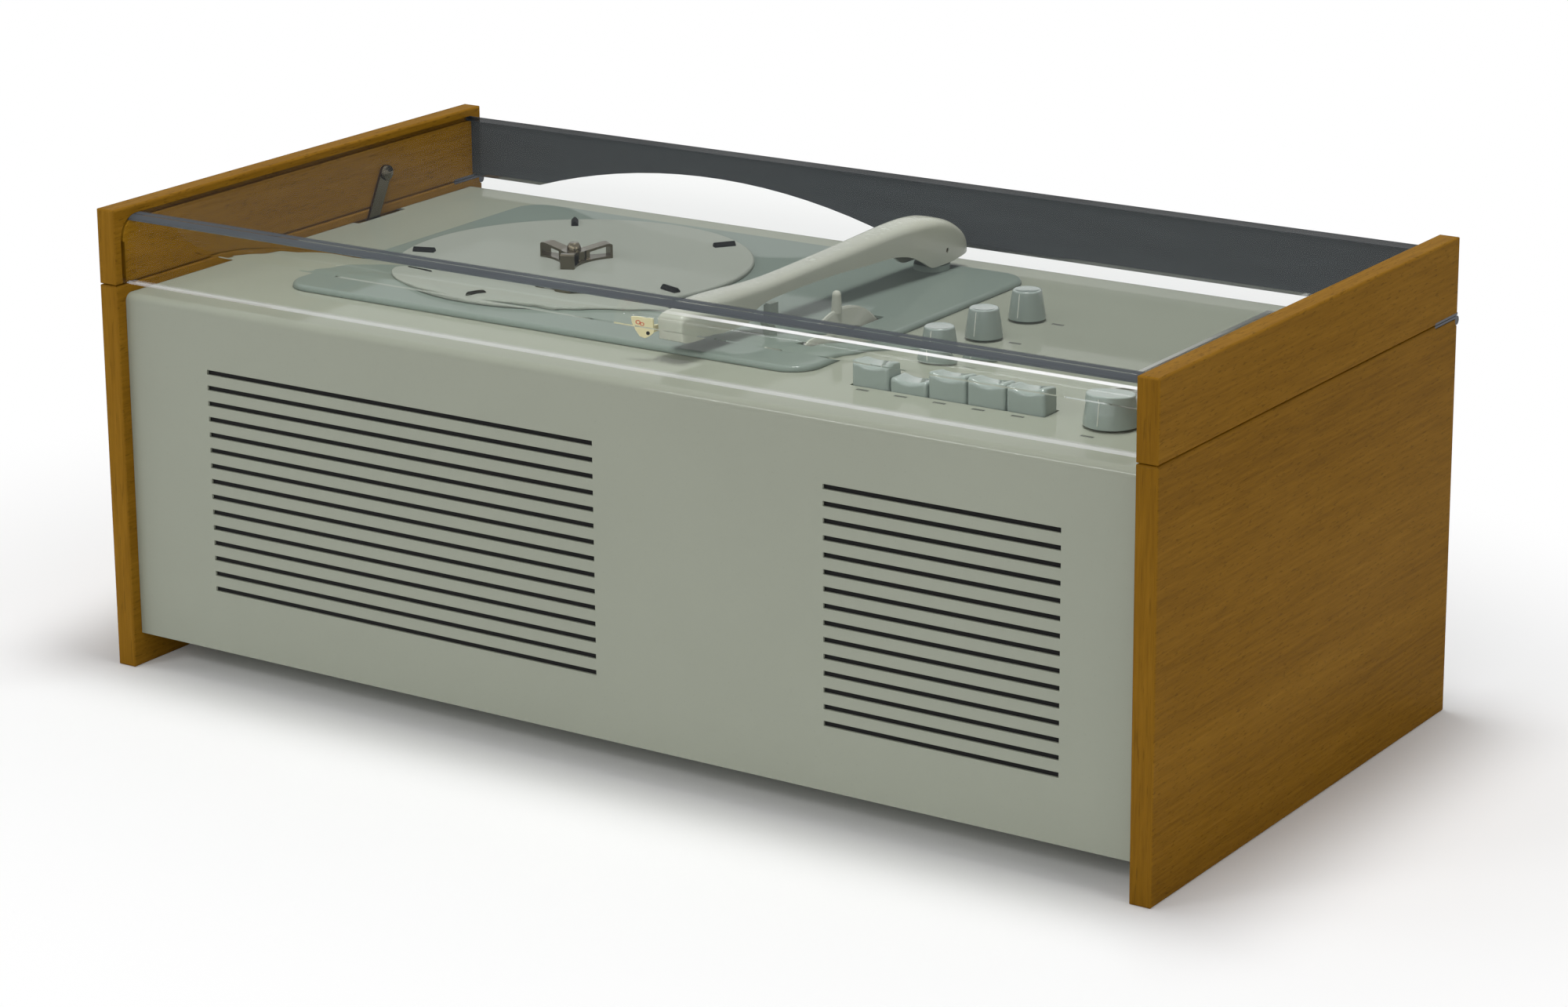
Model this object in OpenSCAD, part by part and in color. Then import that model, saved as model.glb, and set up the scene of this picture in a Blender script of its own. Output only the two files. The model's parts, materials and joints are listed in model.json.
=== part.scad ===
// Table radiogram: two plywood sides, a bent sheet case with slotted grilles, a clear
// bent lid between the upper wooden sides, a record player and a valve radio chassis.
// Millimetres. X to the right, Y to the back, Z up. The origin is at the middle of the
// floor outline. The front of the case faces -Y.

/* [Cabinet] */
// Overall width over the wooden sides
overall_w = 580; // [560:1:640]
// Overall depth of the wooden sides
overall_d = 290; // [288:1:310]
// Overall height with the lid closed
overall_h = 231.8; // [228:0.1:250]
// Thickness of the wooden sides
wood_t = 10.7; // [9:0.1:14]
// Rounding along the edges of the wooden sides
wood_edge_r = 1.2; // [0.6:0.1:2]
// Height of the lid's wooden sides
lid_side_h = 37.65; // [36:0.05:44]
// Gap between the lower and upper wooden sides
lid_gap = 0.3; // [0.2:0.1:0.8]

/* [Sheet case] */
// Thickness of the steel sheet
sheet_t = 1.2; // [0.8:0.1:1.6]
// Outer radius of the sheet's bends
sheet_bend_r = 4; // [3:0.5:6]
// How far the front panel stands behind the wood
front_setback = 6.5; // [5.5:0.1:9]
// How far the rear of the case stands before the rear of the wood
rear_setback = 6.7; // [5:0.1:10]
// How far the deck lies below the top of the lower sides
deck_drop = 4.75; // [4:0.05:6]
// Height of the case's bottom above the floor
floor_gap = 16.5; // [12:0.5:25]
// Depth of the grooves that hold the sheets in the wood
groove_depth = 3; // [2:0.5:4]
// Clearance round a sheet in its groove
groove_gap = 0.15; // [0.1:0.05:0.3]
// Height of the rear flanges
flange_h = 14; // [10:1:20]
// Thickness of the rear cover board
cover_t = 3; // [2:0.5:4]

/* [Grilles] */
// Number of slots in each grille
slot_count = 15; // [10:1:15]
// Height of one slot
slot_h = 2.4; // [1.6:0.1:3.5]
// Distance from slot to slot
slot_pitch = 7.79; // [6.5:0.01:8]
// Height of the grilles' middle over the middle of the front panel
grille_lift = -0.22; // [-4:0.01:4]
// Width of the left grille
left_grille_w = 228; // [180:1:235]
// Distance of the left grille from the left side
left_grille_in = 49.9; // [40:0.1:60]
// Width of the right grille
right_grille_w = 119; // [90:1:125]
// Distance of the right grille from the right side
right_grille_in = 38.1; // [30:0.1:45]

/* [Lid] */
// Thickness of the clear sheet
clear_t = 2.4; // [2:0.1:3]
// How far the lid's front stands behind the wood
lid_front_setback = 5; // [4:0.1:6.4]
// How far the lid's rear stands before the rear of the wood
lid_rear_setback = 5.8; // [5.5:0.1:8]
// How far the lid's top lies below the top of the wood
lid_top_drop = 4.2; // [3:0.1:6]
// Gap between the lid's lower edge and the split of the wood
lid_edge_gap = 0.95; // [0.5:0.05:1.5]
// Outer radius of the lid's front bend
lid_front_r = 12; // [8:0.5:12]
// Outer radius of the lid's rear bend
lid_rear_r = 3.5; // [3:0.5:6]
// Width of the arched cut-out for the record at the rear
arch_w = 220; // [200:1:240]
// Height of the arched cut-out
arch_h = 17; // [12:0.5:20]
// Largest opening angle of the lid
lid_open = 65; // [45:1:65]

/* [Hinges and stay] */
// Length of a hinge leaf along the depth
hinge_leaf_l = 23; // [18:0.5:28]
// Thickness of a hinge leaf
hinge_leaf_t = 1.2; // [1:0.1:1.6]
// Radius of the hinge knuckle
knuckle_r = 2.2; // [2:0.1:2.6]
// Radius of the hinge pin
hinge_pin_r = 1; // [0.8:0.1:1.2]
// Width of the lid stay
stay_w = 8; // [6:0.5:9]
// Thickness of the lid stay
stay_t = 1.4; // [1:0.1:1.8]
// Length of the lid stay below its screw
stay_l = 122; // [118:1:128]
// Lean of the closed lid stay from the vertical
stay_lean = 27; // [24:1:28]
// Distance of the stay's screw from the rear of the wood
stay_back = 83.4; // [80:0.1:88]

/* [Turntable plate] */
// Width of the plate
plate_w = 303.5; // [300:0.5:308]
// Depth of the plate
plate_d = 204; // [203:0.5:210]
// Height of the plate's top above the deck
plate_h = 2.8; // [2.6:0.1:4]
// Corner radius of the plate
plate_corner_r = 15; // [12:1:20]
// Rounding of the plate's upper edge
plate_edge_r = 2.2; // [1.8:0.1:2.4]
// Wall of the plate
plate_t = 1.4; // [1.2:0.1:1.8]
// Share of the deck's spare width that lies left of the plate
plate_left_share = 0.82672; // [0.75:0.00001:0.9]
// Share of the deck's spare depth that lies in front of the plate
plate_front_share = 0.66621; // [0.64:0.00001:0.72]
// Radius of the plate's well
well_r = 86; // [86:0.1:87]
// Depth of the well below the plate's top
well_depth = 11.8; // [11.8:0.1:13]

/* [Platter] */
// Distance of the spindle from the plate's left edge
spindle_left = 101; // [98:0.5:104]
// Distance of the spindle from the plate's front edge
spindle_front = 104; // [100:0.5:106]
// Radius of the platter
platter_r = 88.7; // [88.3:0.1:89.5]
// Height of the platter's top above the plate
platter_h = 2.2; // [2:0.1:2.8]
// Thickness of the platter sheet
platter_t = 1.5; // [1.2:0.1:1.8]
// Inner radius of the platter's drive rim
drive_rim_r = 80; // [79:0.5:81]
// Radius of the spindle
spindle_r = 3.55; // [3.4:0.01:3.6]
// Height of the spindle's tip above the platter
spindle_tip = 9.1; // [8:0.1:12]
// Height of the rubber ribs
pad_h = 2.2; // [1.8:0.1:2.2]
// Length of the rubber ribs
pad_l = 11; // [8:0.5:14]
// Width of the rubber ribs
pad_w = 3.6; // [3:0.1:5]
// Number of rubber ribs
pad_count = 5; // [3:1:8]
// Radius of the centre adapter's arms
adapter_r = 19; // [18.8:0.05:19.1]
// Height of the adapter's arms
adapter_h = 7.4; // [7:0.1:7.6]
// Width of the adapter's arms
adapter_w = 7; // [5:0.1:8]
// Radius of the middle of the adapter's base, between the arms
adapter_waist = 8; // [7.5:0.1:8.5]

/* [Drive] */
// Radius of the idler wheel
idler_r = 16.7; // [15:0.1:18]
// Gap kept between the driving wheels
drive_gap = 0.3; // [0.2:0.05:0.4]
// Bearing of the idler from the spindle
idler_angle = 20; // [10:1:30]
// Radius of the motor's body
motor_r = 28; // [24:1:30]
// Height of the motor's body
motor_h = 44; // [36:1:50]

/* [Tonearm] */
// Distance of the arm's pivot from the plate's right edge
pivot_right = 49.5; // [48:0.5:52]
// Distance of the arm's pivot from the plate's rear edge
pivot_rear = 13; // [12.5:0.5:14]
// Turn of the resting arm from the front-to-back line
arm_turn = 3.9; // [2:0.1:5]
// Length of the arm in front of its pivot
arm_reach = 203.5; // [200:0.5:206]
// Wall of the arm's shell
arm_wall = 1.5; // [1.2:0.1:1.8]
// Clearance of the stylus above the rubber ribs
stylus_gap = 0.5; // [0.4:0.1:1]
// Height of the lift pin above the plate
lift_pin_h = 10.3; // [10:0.1:10.6]
// Radius of the lift pin
lift_pin_r = 1.2; // [1:0.1:1.4]
// Radius of the arm's upright shaft
arm_shaft_r = 3; // [2.5:0.1:3.5]
// Radius of the pivot's base ring
pivot_ring_r = 9; // [8:0.5:10]

/* [Speed selector] */
// Radius of the selector wheel
selector_r = 44; // [42:0.5:45]
// Thickness of the selector wheel
selector_t = 6; // [5:0.5:6.5]
// Height of the wheel's top above the plate
selector_rise = 10.8; // [9:0.1:12]
// Height of the finger pin above the wheel
finger_pin_h = 7.4; // [5:0.1:9]
// Distance of the selector from the plate's right edge
selector_right = 23.5; // [22:0.5:26]
// Distance of the selector from the plate's front edge
selector_front = 68; // [64:0.5:72]
// Turn of the selector to each side
selector_swing = 12; // [8:1:12]

/* [Controls] */
// Distance of the knob row from the plate
knob_row_out = 35; // [33:0.1:36.8]
// Distance of the first knob from the front panel
knob_row_front = 108; // [104:0.5:110]
// Distance from knob to knob
knob_pitch = 39.4; // [36:0.1:44]
// Radius at the foot of a small knob
knob_r = 8.95; // [8:0.05:10]
// Radius at the top of a small knob
knob_top_r = 7; // [6:0.1:7.5]
// Height of the knobs
knob_h = 14; // [12:0.5:16]
// Gap between a knob and the deck
knob_gap = 0.9; // [0.7:0.1:1.5]
// Radius at the foot of the tuning knob
tuning_r = 12.5; // [11:0.1:14]
// Radius at the top of the tuning knob
tuning_top_r = 10.8; // [9:0.1:11]
// Distance of the tuning knob's middle from the last key
tuning_gap = 31.1; // [29:0.1:33]
// Distance of the tuning knob from the front panel
tuning_front = 51.5; // [50:0.1:54]
// Radius of the control shafts
shaft_r = 3; // [2.5:0.1:3.2]
// Radius of the thread that holds a control in the deck
bush_r = 4.4; // [4:0.1:5]

/* [Keys] */
// Number of keys
key_count = 5; // [5:1:5]
// Distance from key to key
key_pitch = 19.8; // [19.2:0.1:20]
// Gap between two keys
key_gap = 0.5; // [0.4:0.05:0.8]
// Depth of a key
key_d = 12; // [11:0.1:13]
// Height of a key's corners above the deck
key_rise = 11.5; // [10:0.1:13]
// Depth of the hollow in a key's top
key_dish = 2; // [1:0.1:2.5]
// Travel of a key
key_travel = 4.5; // [3:0.1:5]
// Clearance round the keys in the deck
key_clear = 0.5; // [0.4:0.05:0.8]
// Distance of the first key from the plate
key_out = 25.9; // [23.5:0.1:26.8]
// Distance of the keys from the front panel
key_front = 48.1; // [47:0.1:50]

/* [Dial] */
// Width of the dial window
dial_w = 58; // [50:1:60]
// Length of the dial window
dial_l = 160; // [150:1:166]
// Distance of the dial window from the rear of the case
dial_rear = 20.3; // [18:0.1:26]
// Thickness of the dial strip
dial_t = 2; // [1.5:0.1:2.5]
// Width of the bezel round the window
bezel_w = 2.5; // [2:0.1:4]
// Height of the bezel above the deck
bezel_h = 1; // [0.6:0.1:1.5]
// Travel of the pointer
pointer_travel = 150; // [120:1:150]

/* [Loudspeaker] */
// Room between the loudspeaker's edge and the case, above and below
speaker_room = 8.45; // [8:0.05:16]
// Depth of the loudspeaker
speaker_d = 66; // [60:1:74]
// Radius of the magnet
magnet_r = 30; // [26:1:36]
// Thickness of the baffle board
baffle_t = 4; // [3:0.5:6]

/* [Radio chassis] */
// Height of the chassis plate above the floor
chassis_z = 70; // [62:1:72]
// Width of the chassis
chassis_w = 180; // [180:1:190]
// Depth of the chassis
chassis_d = 184; // [182:1:188]
// Distance of the chassis from the right side
chassis_in = 8; // [6:0.5:9]
// Distance of the chassis from the rear of the case
chassis_rear = 20; // [18:0.5:22]
// Radius of a valve
valve_r = 10.5; // [9:0.5:11]
// Height of a valve
valve_h = 60; // [50:1:64]

/* [Hidden] */

$fn = 64;
round_fn = 20;
run_gap = 0.05;
seat_gap = 0.1;
free_gap = 0.3;

// Cabinet places
in_r = overall_w / 2 - wood_t;
in_l = -in_r;
wood_y = overall_d / 2;
split_z = overall_h - lid_side_h;
deck_z = split_z - deck_drop;
face_y = -wood_y + front_setback;
rear_y = wood_y - rear_setback;
deck_under = deck_z - sheet_t;
shell_x = in_r + groove_depth - groove_gap;

// Lid places
lid_x = in_r + groove_depth - groove_gap;
lid_y0 = -wood_y + lid_front_setback;
lid_y1 = wood_y - lid_rear_setback;
lid_z0 = split_z + lid_edge_gap;
lid_z1 = overall_h - lid_top_drop;
hinge_y = wood_y - 0.2;
hinge_z = split_z - knuckle_r;
leaf_y0 = wood_y - hinge_leaf_l - 1;

// Plate places
keys_w = key_count * key_pitch - key_gap;
spare_w = 2 * in_r - plate_w - key_out - keys_w - tuning_gap - dial_w / 2 - bezel_w;
spare_d = rear_y - face_y - plate_d;
plate_x0 = in_l + plate_left_share * spare_w;
plate_x1 = plate_x0 + plate_w;
plate_y0 = face_y + plate_front_share * spare_d;
plate_y1 = plate_y0 + plate_d;
plate_z = deck_z + plate_h;
plate_low = deck_z + free_gap;
spindle_x = plate_x0 + spindle_left;
spindle_y = plate_y0 + spindle_front;
platter_z = plate_z + platter_h;
well_z = plate_z - well_depth;
opening_in = 5;
cup_in = 16;
cup_r = 8.8;
cup_depth = 14;
stud_r = 2.9;
spring_r = 6.5;

// Drive places
step_radii = [4.6, 2.65, 1.96, 0.98];
step_h = 2.7;
step_z0 = well_z + 0.6;
idler_x = spindle_x + (drive_rim_r - idler_r - drive_gap) * cos(idler_angle);
idler_y = spindle_y + (drive_rim_r - idler_r - drive_gap) * sin(idler_angle);
motor_x = idler_x + (idler_r + step_radii[2] + drive_gap) * cos(idler_angle + 100);
motor_y = idler_y + (idler_r + step_radii[2] + drive_gap) * sin(idler_angle + 100);
motor_top = well_z - plate_t - 5.6;
hub_low = well_z + 1.6;

// Tonearm places
pivot_x = plate_x1 - pivot_right;
pivot_y = plate_y1 - pivot_rear;
lift_z = plate_z + lift_pin_h;
tip_z = platter_z + pad_h + stylus_gap;
stylus_reach = 6.5;
stylus_axis_z = tip_z + stylus_reach;
stylus_s = arm_reach - 9.5;
rest_s = 140.5;
rest_off = 8.7;

// Selector places
selector_x = plate_x1 - selector_right;
selector_y = plate_y0 + selector_front;
selector_z = plate_z + selector_rise - selector_r;
selector_chord = sqrt(selector_r * selector_r - (selector_r - selector_rise) * (selector_r - selector_rise));

// Key places
key_w = key_pitch - key_gap;
key_x0 = plate_x1 + key_out;
key_x1 = key_x0 + keys_w;
key_y0 = face_y + key_front;
key_y1 = key_y0 + key_d;
key_foot = deck_z - 11.4;
bank_top = key_foot - key_travel - 1.5;
bank_h = 32;
shank_l = 26;

// Control places
knob_x = plate_x1 + knob_row_out;
knob_y = [for (i = [0:2]) face_y + knob_row_front + i * knob_pitch];
knob_z = deck_z + knob_gap;
tuning_x = key_x1 + tuning_gap;
tuning_y = face_y + tuning_front;
pot_top = deck_under - 8;
pot_h = 12;
cord_spindle_r = pointer_travel / (8 * PI);

// Dial places
dial_x0 = tuning_x - dial_w / 2;
dial_x1 = dial_x0 + dial_w;
dial_y1 = rear_y - dial_rear;
dial_y0 = dial_y1 - dial_l;
strip_lap = 2;
tray_wall = 1.2;
tray_z = deck_under - 11;
pointer_z = deck_under - dial_t - 1.7;
drum_r = pointer_travel / PI;
drum_room = 1.554;
drum_x = in_r - drum_r - drum_room;
drum_y = dial_y0 + dial_l / 2;
drum_z = tray_z - 14;

// Chassis places
chassis_x1 = in_r - chassis_in;
chassis_x0 = chassis_x1 - chassis_w;
chassis_y1 = rear_y - chassis_rear;
chassis_y0 = chassis_y1 - chassis_d;
base_z = floor_gap + sheet_t;
chassis_top = chassis_z + sheet_t;

// Loudspeaker places
cloth_t = 0.8;
cloth_y = face_y + sheet_t + seat_gap;
baffle_y = cloth_y + cloth_t + seat_gap;
grille_z = (floor_gap + deck_z) / 2 + grille_lift;
slots_h = (slot_count - 1) * slot_pitch + slot_h;
slot_low_z = grille_z - slots_h / 2;
slot_high_z = slot_low_z + slots_h;
speaker_r = (deck_z - floor_gap) / 2 - speaker_room;
left_grille_x = in_l + left_grille_in;
right_grille_x = in_r - right_grille_in - right_grille_w;
speaker_x = left_grille_x + left_grille_w / 2;
speaker_y = baffle_y + baffle_t;

wood_c = [0.52, 0.33, 0.13];
case_c = [0.62, 0.63, 0.58];
plate_c = [0.50, 0.54, 0.50];
knob_c = [0.50, 0.54, 0.51];
cream_c = [0.72, 0.71, 0.64];
dark_c = [0.08, 0.08, 0.08];
steel_c = [0.60, 0.60, 0.58];

// A block between two opposite corners
module block(a, b) {
    translate(a) cube(b - a);
}

module rod_x(x0, x1, y, z, r) {
    translate([x0, y, z]) rotate([0, 90, 0]) cylinder(r = r, h = x1 - x0);
}

module rod_y(x, y0, y1, z, r) {
    translate([x, y1, z]) rotate([90, 0, 0]) cylinder(r = r, h = y1 - y0);
}

module rod_z(x, y, z0, z1, r) {
    translate([x, y, z0]) cylinder(r = r, h = z1 - z0);
}

// A rectangle with rounded corners, from the origin
module round_rect(w, d, r) {
    translate([r, 0]) square([w - 2 * r, d]);
    translate([0, r]) square([w, d - 2 * r]);
    for (x = [r, w - r], y = [r, d - r]) translate([x, y]) circle(r = r);
}

// A block with every edge rounded, as the common part of three rounded bars
module round_block(a, b, r) {
    size = b - a;
    translate(a) intersection() {
        linear_extrude(size.z) round_rect(size.x, size.y, r);
        rotate([90, 0, 90]) linear_extrude(size.x) round_rect(size.y, size.z, r);
        translate([0, size.y, 0]) rotate([90, 0, 0]) linear_extrude(size.y) round_rect(size.x, size.z, r);
    }
}

// A section with both upper corners rounded, centred, standing on its base line
module soft_section(w, h, r) {
    intersection() {
        translate([-w / 2, 0]) square([w, h]);
        union() {
            translate([-w / 2, 0]) square([w, h - r]);
            translate([-w / 2 + r, 0]) square([w - 2 * r, h]);
            for (s = [-1, 1]) translate([s * (w / 2 - r), h - r]) circle(r = r);
        }
    }
}

// A round plate with a rounded upper edge
module soft_disc(radius, h, r) {
    rotate_extrude() {
        square([radius, h - r]);
        square([radius - r, h]);
        translate([radius - r, h - r]) intersection() {
            circle(r = r);
            square([r, r]);
        }
    }
}

// A slab with rounded corners and a rounded upper edge
module soft_slab(w, d, h, corner, edge) {
    for (x = [-1, 1], y = [-1, 1])
        translate([x * (w / 2 - corner), y * (d / 2 - corner), 0]) soft_disc(corner, h, edge);
    translate([-w / 2 + corner, 0, 0]) rotate([90, 0, 90])
        linear_extrude(w - 2 * corner) soft_section(d, h, edge);
    translate([0, d / 2 - corner, 0]) rotate([90, 0, 0])
        linear_extrude(d - 2 * corner) soft_section(w, h, edge);
}

// The solid outline of a bent sheet in the YZ plane
module bent_outline(y0, y1, z0, z1, r0, r1) {
    translate([y0, z0]) square([y1 - y0, z1 - max(r0, r1) - z0]);
    translate([y0 + r0, z0]) square([y1 - y0 - r0 - r1, z1 - z0]);
    translate([y0, z0]) square([r0, z1 - r0 - z0]);
    translate([y1 - r1, z0]) square([r1, z1 - r1 - z0]);
    translate([y0 + r0, z1 - r0]) circle(r = r0);
    translate([y1 - r1, z1 - r1]) circle(r = r1);
}

// A bent sheet's section: outer outline less the inner one, the rear leg cut at z_rear
module bent_section(y0, y1, z0, z1, r0, r1, t, z_rear, extra) {
    difference() {
        bent_outline(y0 - extra, y1 + extra, z0 - extra, z1 + extra, r0 + extra, r1 + extra);
        bent_outline(y0 + t + extra, y1 - t - extra, z0 - 2 * extra - 1, z1 - t - extra,
            max(r0 - t - extra, 0.2), max(r1 - t - extra, 0.2));
        translate([y1 - 2 * t - 3 * extra - r1, z0 - 2])
            square([r1 + 3 * t + 6 * extra, z_rear - extra - z0 + 2]);
    }
}

module case_section(extra = 0) {
    bent_section(face_y, rear_y, floor_gap, deck_z, sheet_bend_r, sheet_bend_r, sheet_t,
        deck_z - flange_h, extra);
}

module lid_section(extra = 0) {
    bent_section(lid_y0, lid_y1, lid_z0, lid_z1, lid_front_r, lid_rear_r, clear_t, lid_z0, extra);
}

// Extrude a section of the YZ plane along X
module along_x(x0, x1) {
    translate([x0, 0, 0]) rotate([90, 0, 90]) linear_extrude(x1 - x0) children();
}

// The floor sheet with its rear flange
module base_section(extra = 0) {
    y0 = face_y + sheet_t + seat_gap;
    translate([y0 - extra, floor_gap - extra])
        square([rear_y - y0 + 2 * extra, sheet_t + 2 * extra]);
    translate([rear_y - sheet_t - extra, floor_gap - extra])
        square([sheet_t + 2 * extra, flange_h + 2 * extra]);
}

module lower_side(right) {
    x0 = right ? in_r : -in_r - wood_t;
    groove_x0 = right ? in_r - 1 : -in_r - groove_depth;
    difference() {
        round_block([x0, -wood_y, 0], [x0 + wood_t, wood_y, split_z], wood_edge_r);
        along_x(groove_x0, groove_x0 + groove_depth + 1) {
            case_section(groove_gap);
            base_section(groove_gap);
        }
        block([x0 - 1, leaf_y0 - seat_gap, split_z - hinge_leaf_t - seat_gap],
            [x0 + wood_t + 1, wood_y + 1, split_z + 1]);
        rod_x(x0 - 1, x0 + wood_t + 1, hinge_y, hinge_z, knuckle_r + free_gap);
        block([x0 - 1, hinge_y - knuckle_r - free_gap, hinge_z],
            [x0 + wood_t + 1, wood_y + 1, split_z + 1]);
    }
}

module upper_side(right) {
    x0 = right ? in_r : -in_r - wood_t;
    groove_x0 = right ? in_r - 1 : -in_r - groove_depth;
    z0 = split_z + lid_gap;
    difference() {
        round_block([x0, -wood_y, z0], [x0 + wood_t, wood_y, overall_h], wood_edge_r);
        along_x(groove_x0, groove_x0 + groove_depth + 1) lid_section(groove_gap);
        block([x0 - 1, leaf_y0 - seat_gap, z0 - 1],
            [x0 + wood_t + 1, wood_y + 1, z0 + hinge_leaf_t + seat_gap]);
        if (!right) rod_x(in_l - 6.5, in_l + 1, stay_y, stay_z, stay_screw_r);
    }
}

module side_left_lower() {
    color(wood_c) lower_side(false);
}

module side_right_lower() {
    color(wood_c) lower_side(true);
}

module side_left_upper() {
    color(wood_c) upper_side(false);
}

module side_right_upper() {
    color(wood_c) upper_side(true);
}

module cup_places() {
    for (x = [plate_x0 + cup_in, plate_x1 - cup_in], y = [plate_y0 + cup_in, plate_y1 - cup_in])
        translate([x, y, 0]) children();
}

module knob_places() {
    for (y = knob_y) translate([knob_x, y, 0]) children();
    translate([tuning_x, tuning_y, 0]) children();
}

// Where the rear screws go: one row through each flange
cover_screw_x = [for (i = [-1:1]) i * (in_r - 20)];
cover_screw_z = [floor_gap + flange_h / 2 + 1, deck_z - flange_h / 2 - 1];

module case_shell() {
    color(case_c) difference() {
        union() {
            difference() {
                along_x(-shell_x, shell_x) case_section();
                difference() {
                    block([plate_x0 + opening_in, plate_y0 + opening_in, deck_under - 1],
                        [plate_x1 - opening_in, plate_y1 - opening_in, deck_z + 1]);
                    cup_places() translate([-12, -12, deck_under - 2]) cube([24, 24, sheet_t + 4]);
                }
            }
            cup_places() rod_z(0, 0, deck_under - cup_depth, deck_z - sheet_t / 2, cup_r + sheet_t);
        }
        cup_places() rod_z(0, 0, deck_under - cup_depth + sheet_t, deck_z + 1, cup_r);
        for (i = [0:slot_count - 1]) {
            z = slot_low_z + i * slot_pitch;
            block([left_grille_x, face_y - 1, z],
                [left_grille_x + left_grille_w, face_y + sheet_t + 1, z + slot_h]);
            block([right_grille_x, face_y - 1, z],
                [right_grille_x + right_grille_w, face_y + sheet_t + 1, z + slot_h]);
        }
        block([key_x0 - key_clear, key_y0 - key_clear, deck_under - 1],
            [key_x1 + key_clear, key_y1 + key_clear, deck_z + 1]);
        knob_places() rod_z(0, 0, deck_under - 1, deck_z + 1, bush_r + seat_gap);
        block([dial_x0, dial_y0, deck_under - 1], [dial_x1, dial_y1, deck_z + 1]);
        block([-shell_x - 1, stay_slot_y0, deck_under - 1],
            [in_l + stay_off + stay_t + 1.6, stay_slot_y1, deck_z + 1]);
        for (x = cover_screw_x)
            rod_y(x, rear_y - sheet_t - 1, rear_y + 1, cover_screw_z[1], cover_screw_r + seat_gap);
    }
}

module base_plate() {
    color(case_c) difference() {
        along_x(-shell_x, shell_x) base_section();
        for (x = cover_screw_x)
            rod_y(x, rear_y - sheet_t - 1, rear_y + 1, cover_screw_z[0], cover_screw_r + seat_gap);
        for (i = [0:6]) {
            x = chassis_x0 + 20 + i * 22;
            block([x, chassis_y0 + 50, floor_gap - 1], [x + 6, chassis_y1 - 50, base_z + 1]);
        }
    }
}

cover_screw_r = 1.6;
cover_y1 = rear_y - sheet_t - seat_gap;
cover_y0 = cover_y1 - cover_t;
vent_h = 3;
vent_w = 46;
vent_pitch = 9;
vent_count = 8;
vent_low_z = floor_gap + 72;

// The sockets at the rear, from left to right
socket_w = 96;
socket_h = 30;
socket_x = chassis_x0 + chassis_w / 2;
socket_z = base_z + 28;
socket_r = 2.05;
socket_pitch = 19;
socket_count = 4;

module rear_cover() {
    color(dark_c) difference() {
        block([in_l + seat_gap, cover_y0, base_z + seat_gap],
            [in_r - seat_gap, cover_y1, deck_z - sheet_bend_r - seat_gap]);
        for (x = cover_screw_x, z = cover_screw_z)
            rod_y(x, cover_y0 - 1, cover_y1 + 1, z, cover_screw_r + seat_gap);
        for (x = [-230, -165, -100, -35, 30, 95, 160], i = [0:vent_count - 1])
            block([x, cover_y0 - 1, vent_low_z + i * vent_pitch],
                [x + vent_w, cover_y1 + 1, vent_low_z + i * vent_pitch + vent_h]);
        block([socket_x - socket_w / 2 + 4, cover_y0 - 1, socket_z - socket_h / 2 + 4],
            [socket_x + socket_w / 2 - 4, cover_y1 + 1, socket_z + socket_h / 2 - 4]);
    }
}

module cover_screws() {
    color(steel_c) for (x = cover_screw_x, z = cover_screw_z) difference() {
        union() {
            rod_y(x, cover_y0 + 0.4, rear_y + 0.05, z, cover_screw_r);
            translate([x, rear_y + 0.05, z]) rotate([-90, 0, 0])
                rotate_extrude() polygon([[0, 0], [3.4, 0], [3.1, 1], [2.2, 1.7], [0, 2]]);
        }
        block([x - 4, rear_y + 1.3, z - 0.4], [x + 4, rear_y + 3, z + 0.4]);
    }
}

module lid_sheet() {
    arch_r = (arch_w * arch_w / 4 + arch_h * arch_h) / (2 * arch_h);
    color([0.82, 0.86, 0.86, 0.3]) difference() {
        along_x(-lid_x, lid_x) lid_section();
        translate([spindle_x - 2.5, lid_y1 + 1, lid_z0 + arch_h - arch_r]) rotate([90, 0, 0])
            cylinder(r = arch_r, h = lid_rear_r + 2, $fn = 256);
        for (x = [-lid_x - 1, in_r - free_gap])
            block([x, leaf_y0, lid_z0 - 1], [x + lid_x + 1 - in_r + free_gap, wood_y,
                split_z + lid_gap + hinge_leaf_t + seat_gap]);
    }
}

// One hinge leaf with its knuckles, for the side whose board starts at x0
module hinge_places() {
    for (x0 = [in_r, -in_r - wood_t]) translate([x0, 0, 0]) children();
}

knuckle_gap = 0.2;
knuckle_w = (wood_t - 2 * free_gap - 2 * knuckle_gap) / 3;

module hinge_lower() {
    lug_x = [free_gap, free_gap + 2 * (knuckle_w + knuckle_gap)];
    color(steel_c) hinge_places() {
        block([free_gap, leaf_y0, split_z - hinge_leaf_t],
            [wood_t - free_gap, hinge_y - knuckle_r - 0.2, split_z]);
        for (x = lug_x) {
            rod_x(x, x + knuckle_w, hinge_y, hinge_z, knuckle_r);
            block([x, hinge_y - knuckle_r - 1, split_z - hinge_leaf_t], [x + knuckle_w, hinge_y, split_z]);
        }
        rod_x(free_gap, wood_t - free_gap, hinge_y, hinge_z, hinge_pin_r);
    }
}

module hinge_upper() {
    x = free_gap + knuckle_w + knuckle_gap;
    z0 = split_z + lid_gap;
    color(steel_c) hinge_places() difference() {
        union() {
            block([free_gap, leaf_y0, z0], [wood_t - free_gap, wood_y + 0.4, z0 + hinge_leaf_t]);
            rod_x(x, x + knuckle_w, hinge_y, hinge_z, knuckle_r);
            block([x, hinge_y - 1.2, hinge_z], [x + knuckle_w, hinge_y + 1.4, z0 + hinge_leaf_t]);
        }
        rod_x(x - 1, x + knuckle_w + 1, hinge_y, hinge_z, hinge_pin_r + run_gap);
    }
}

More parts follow.
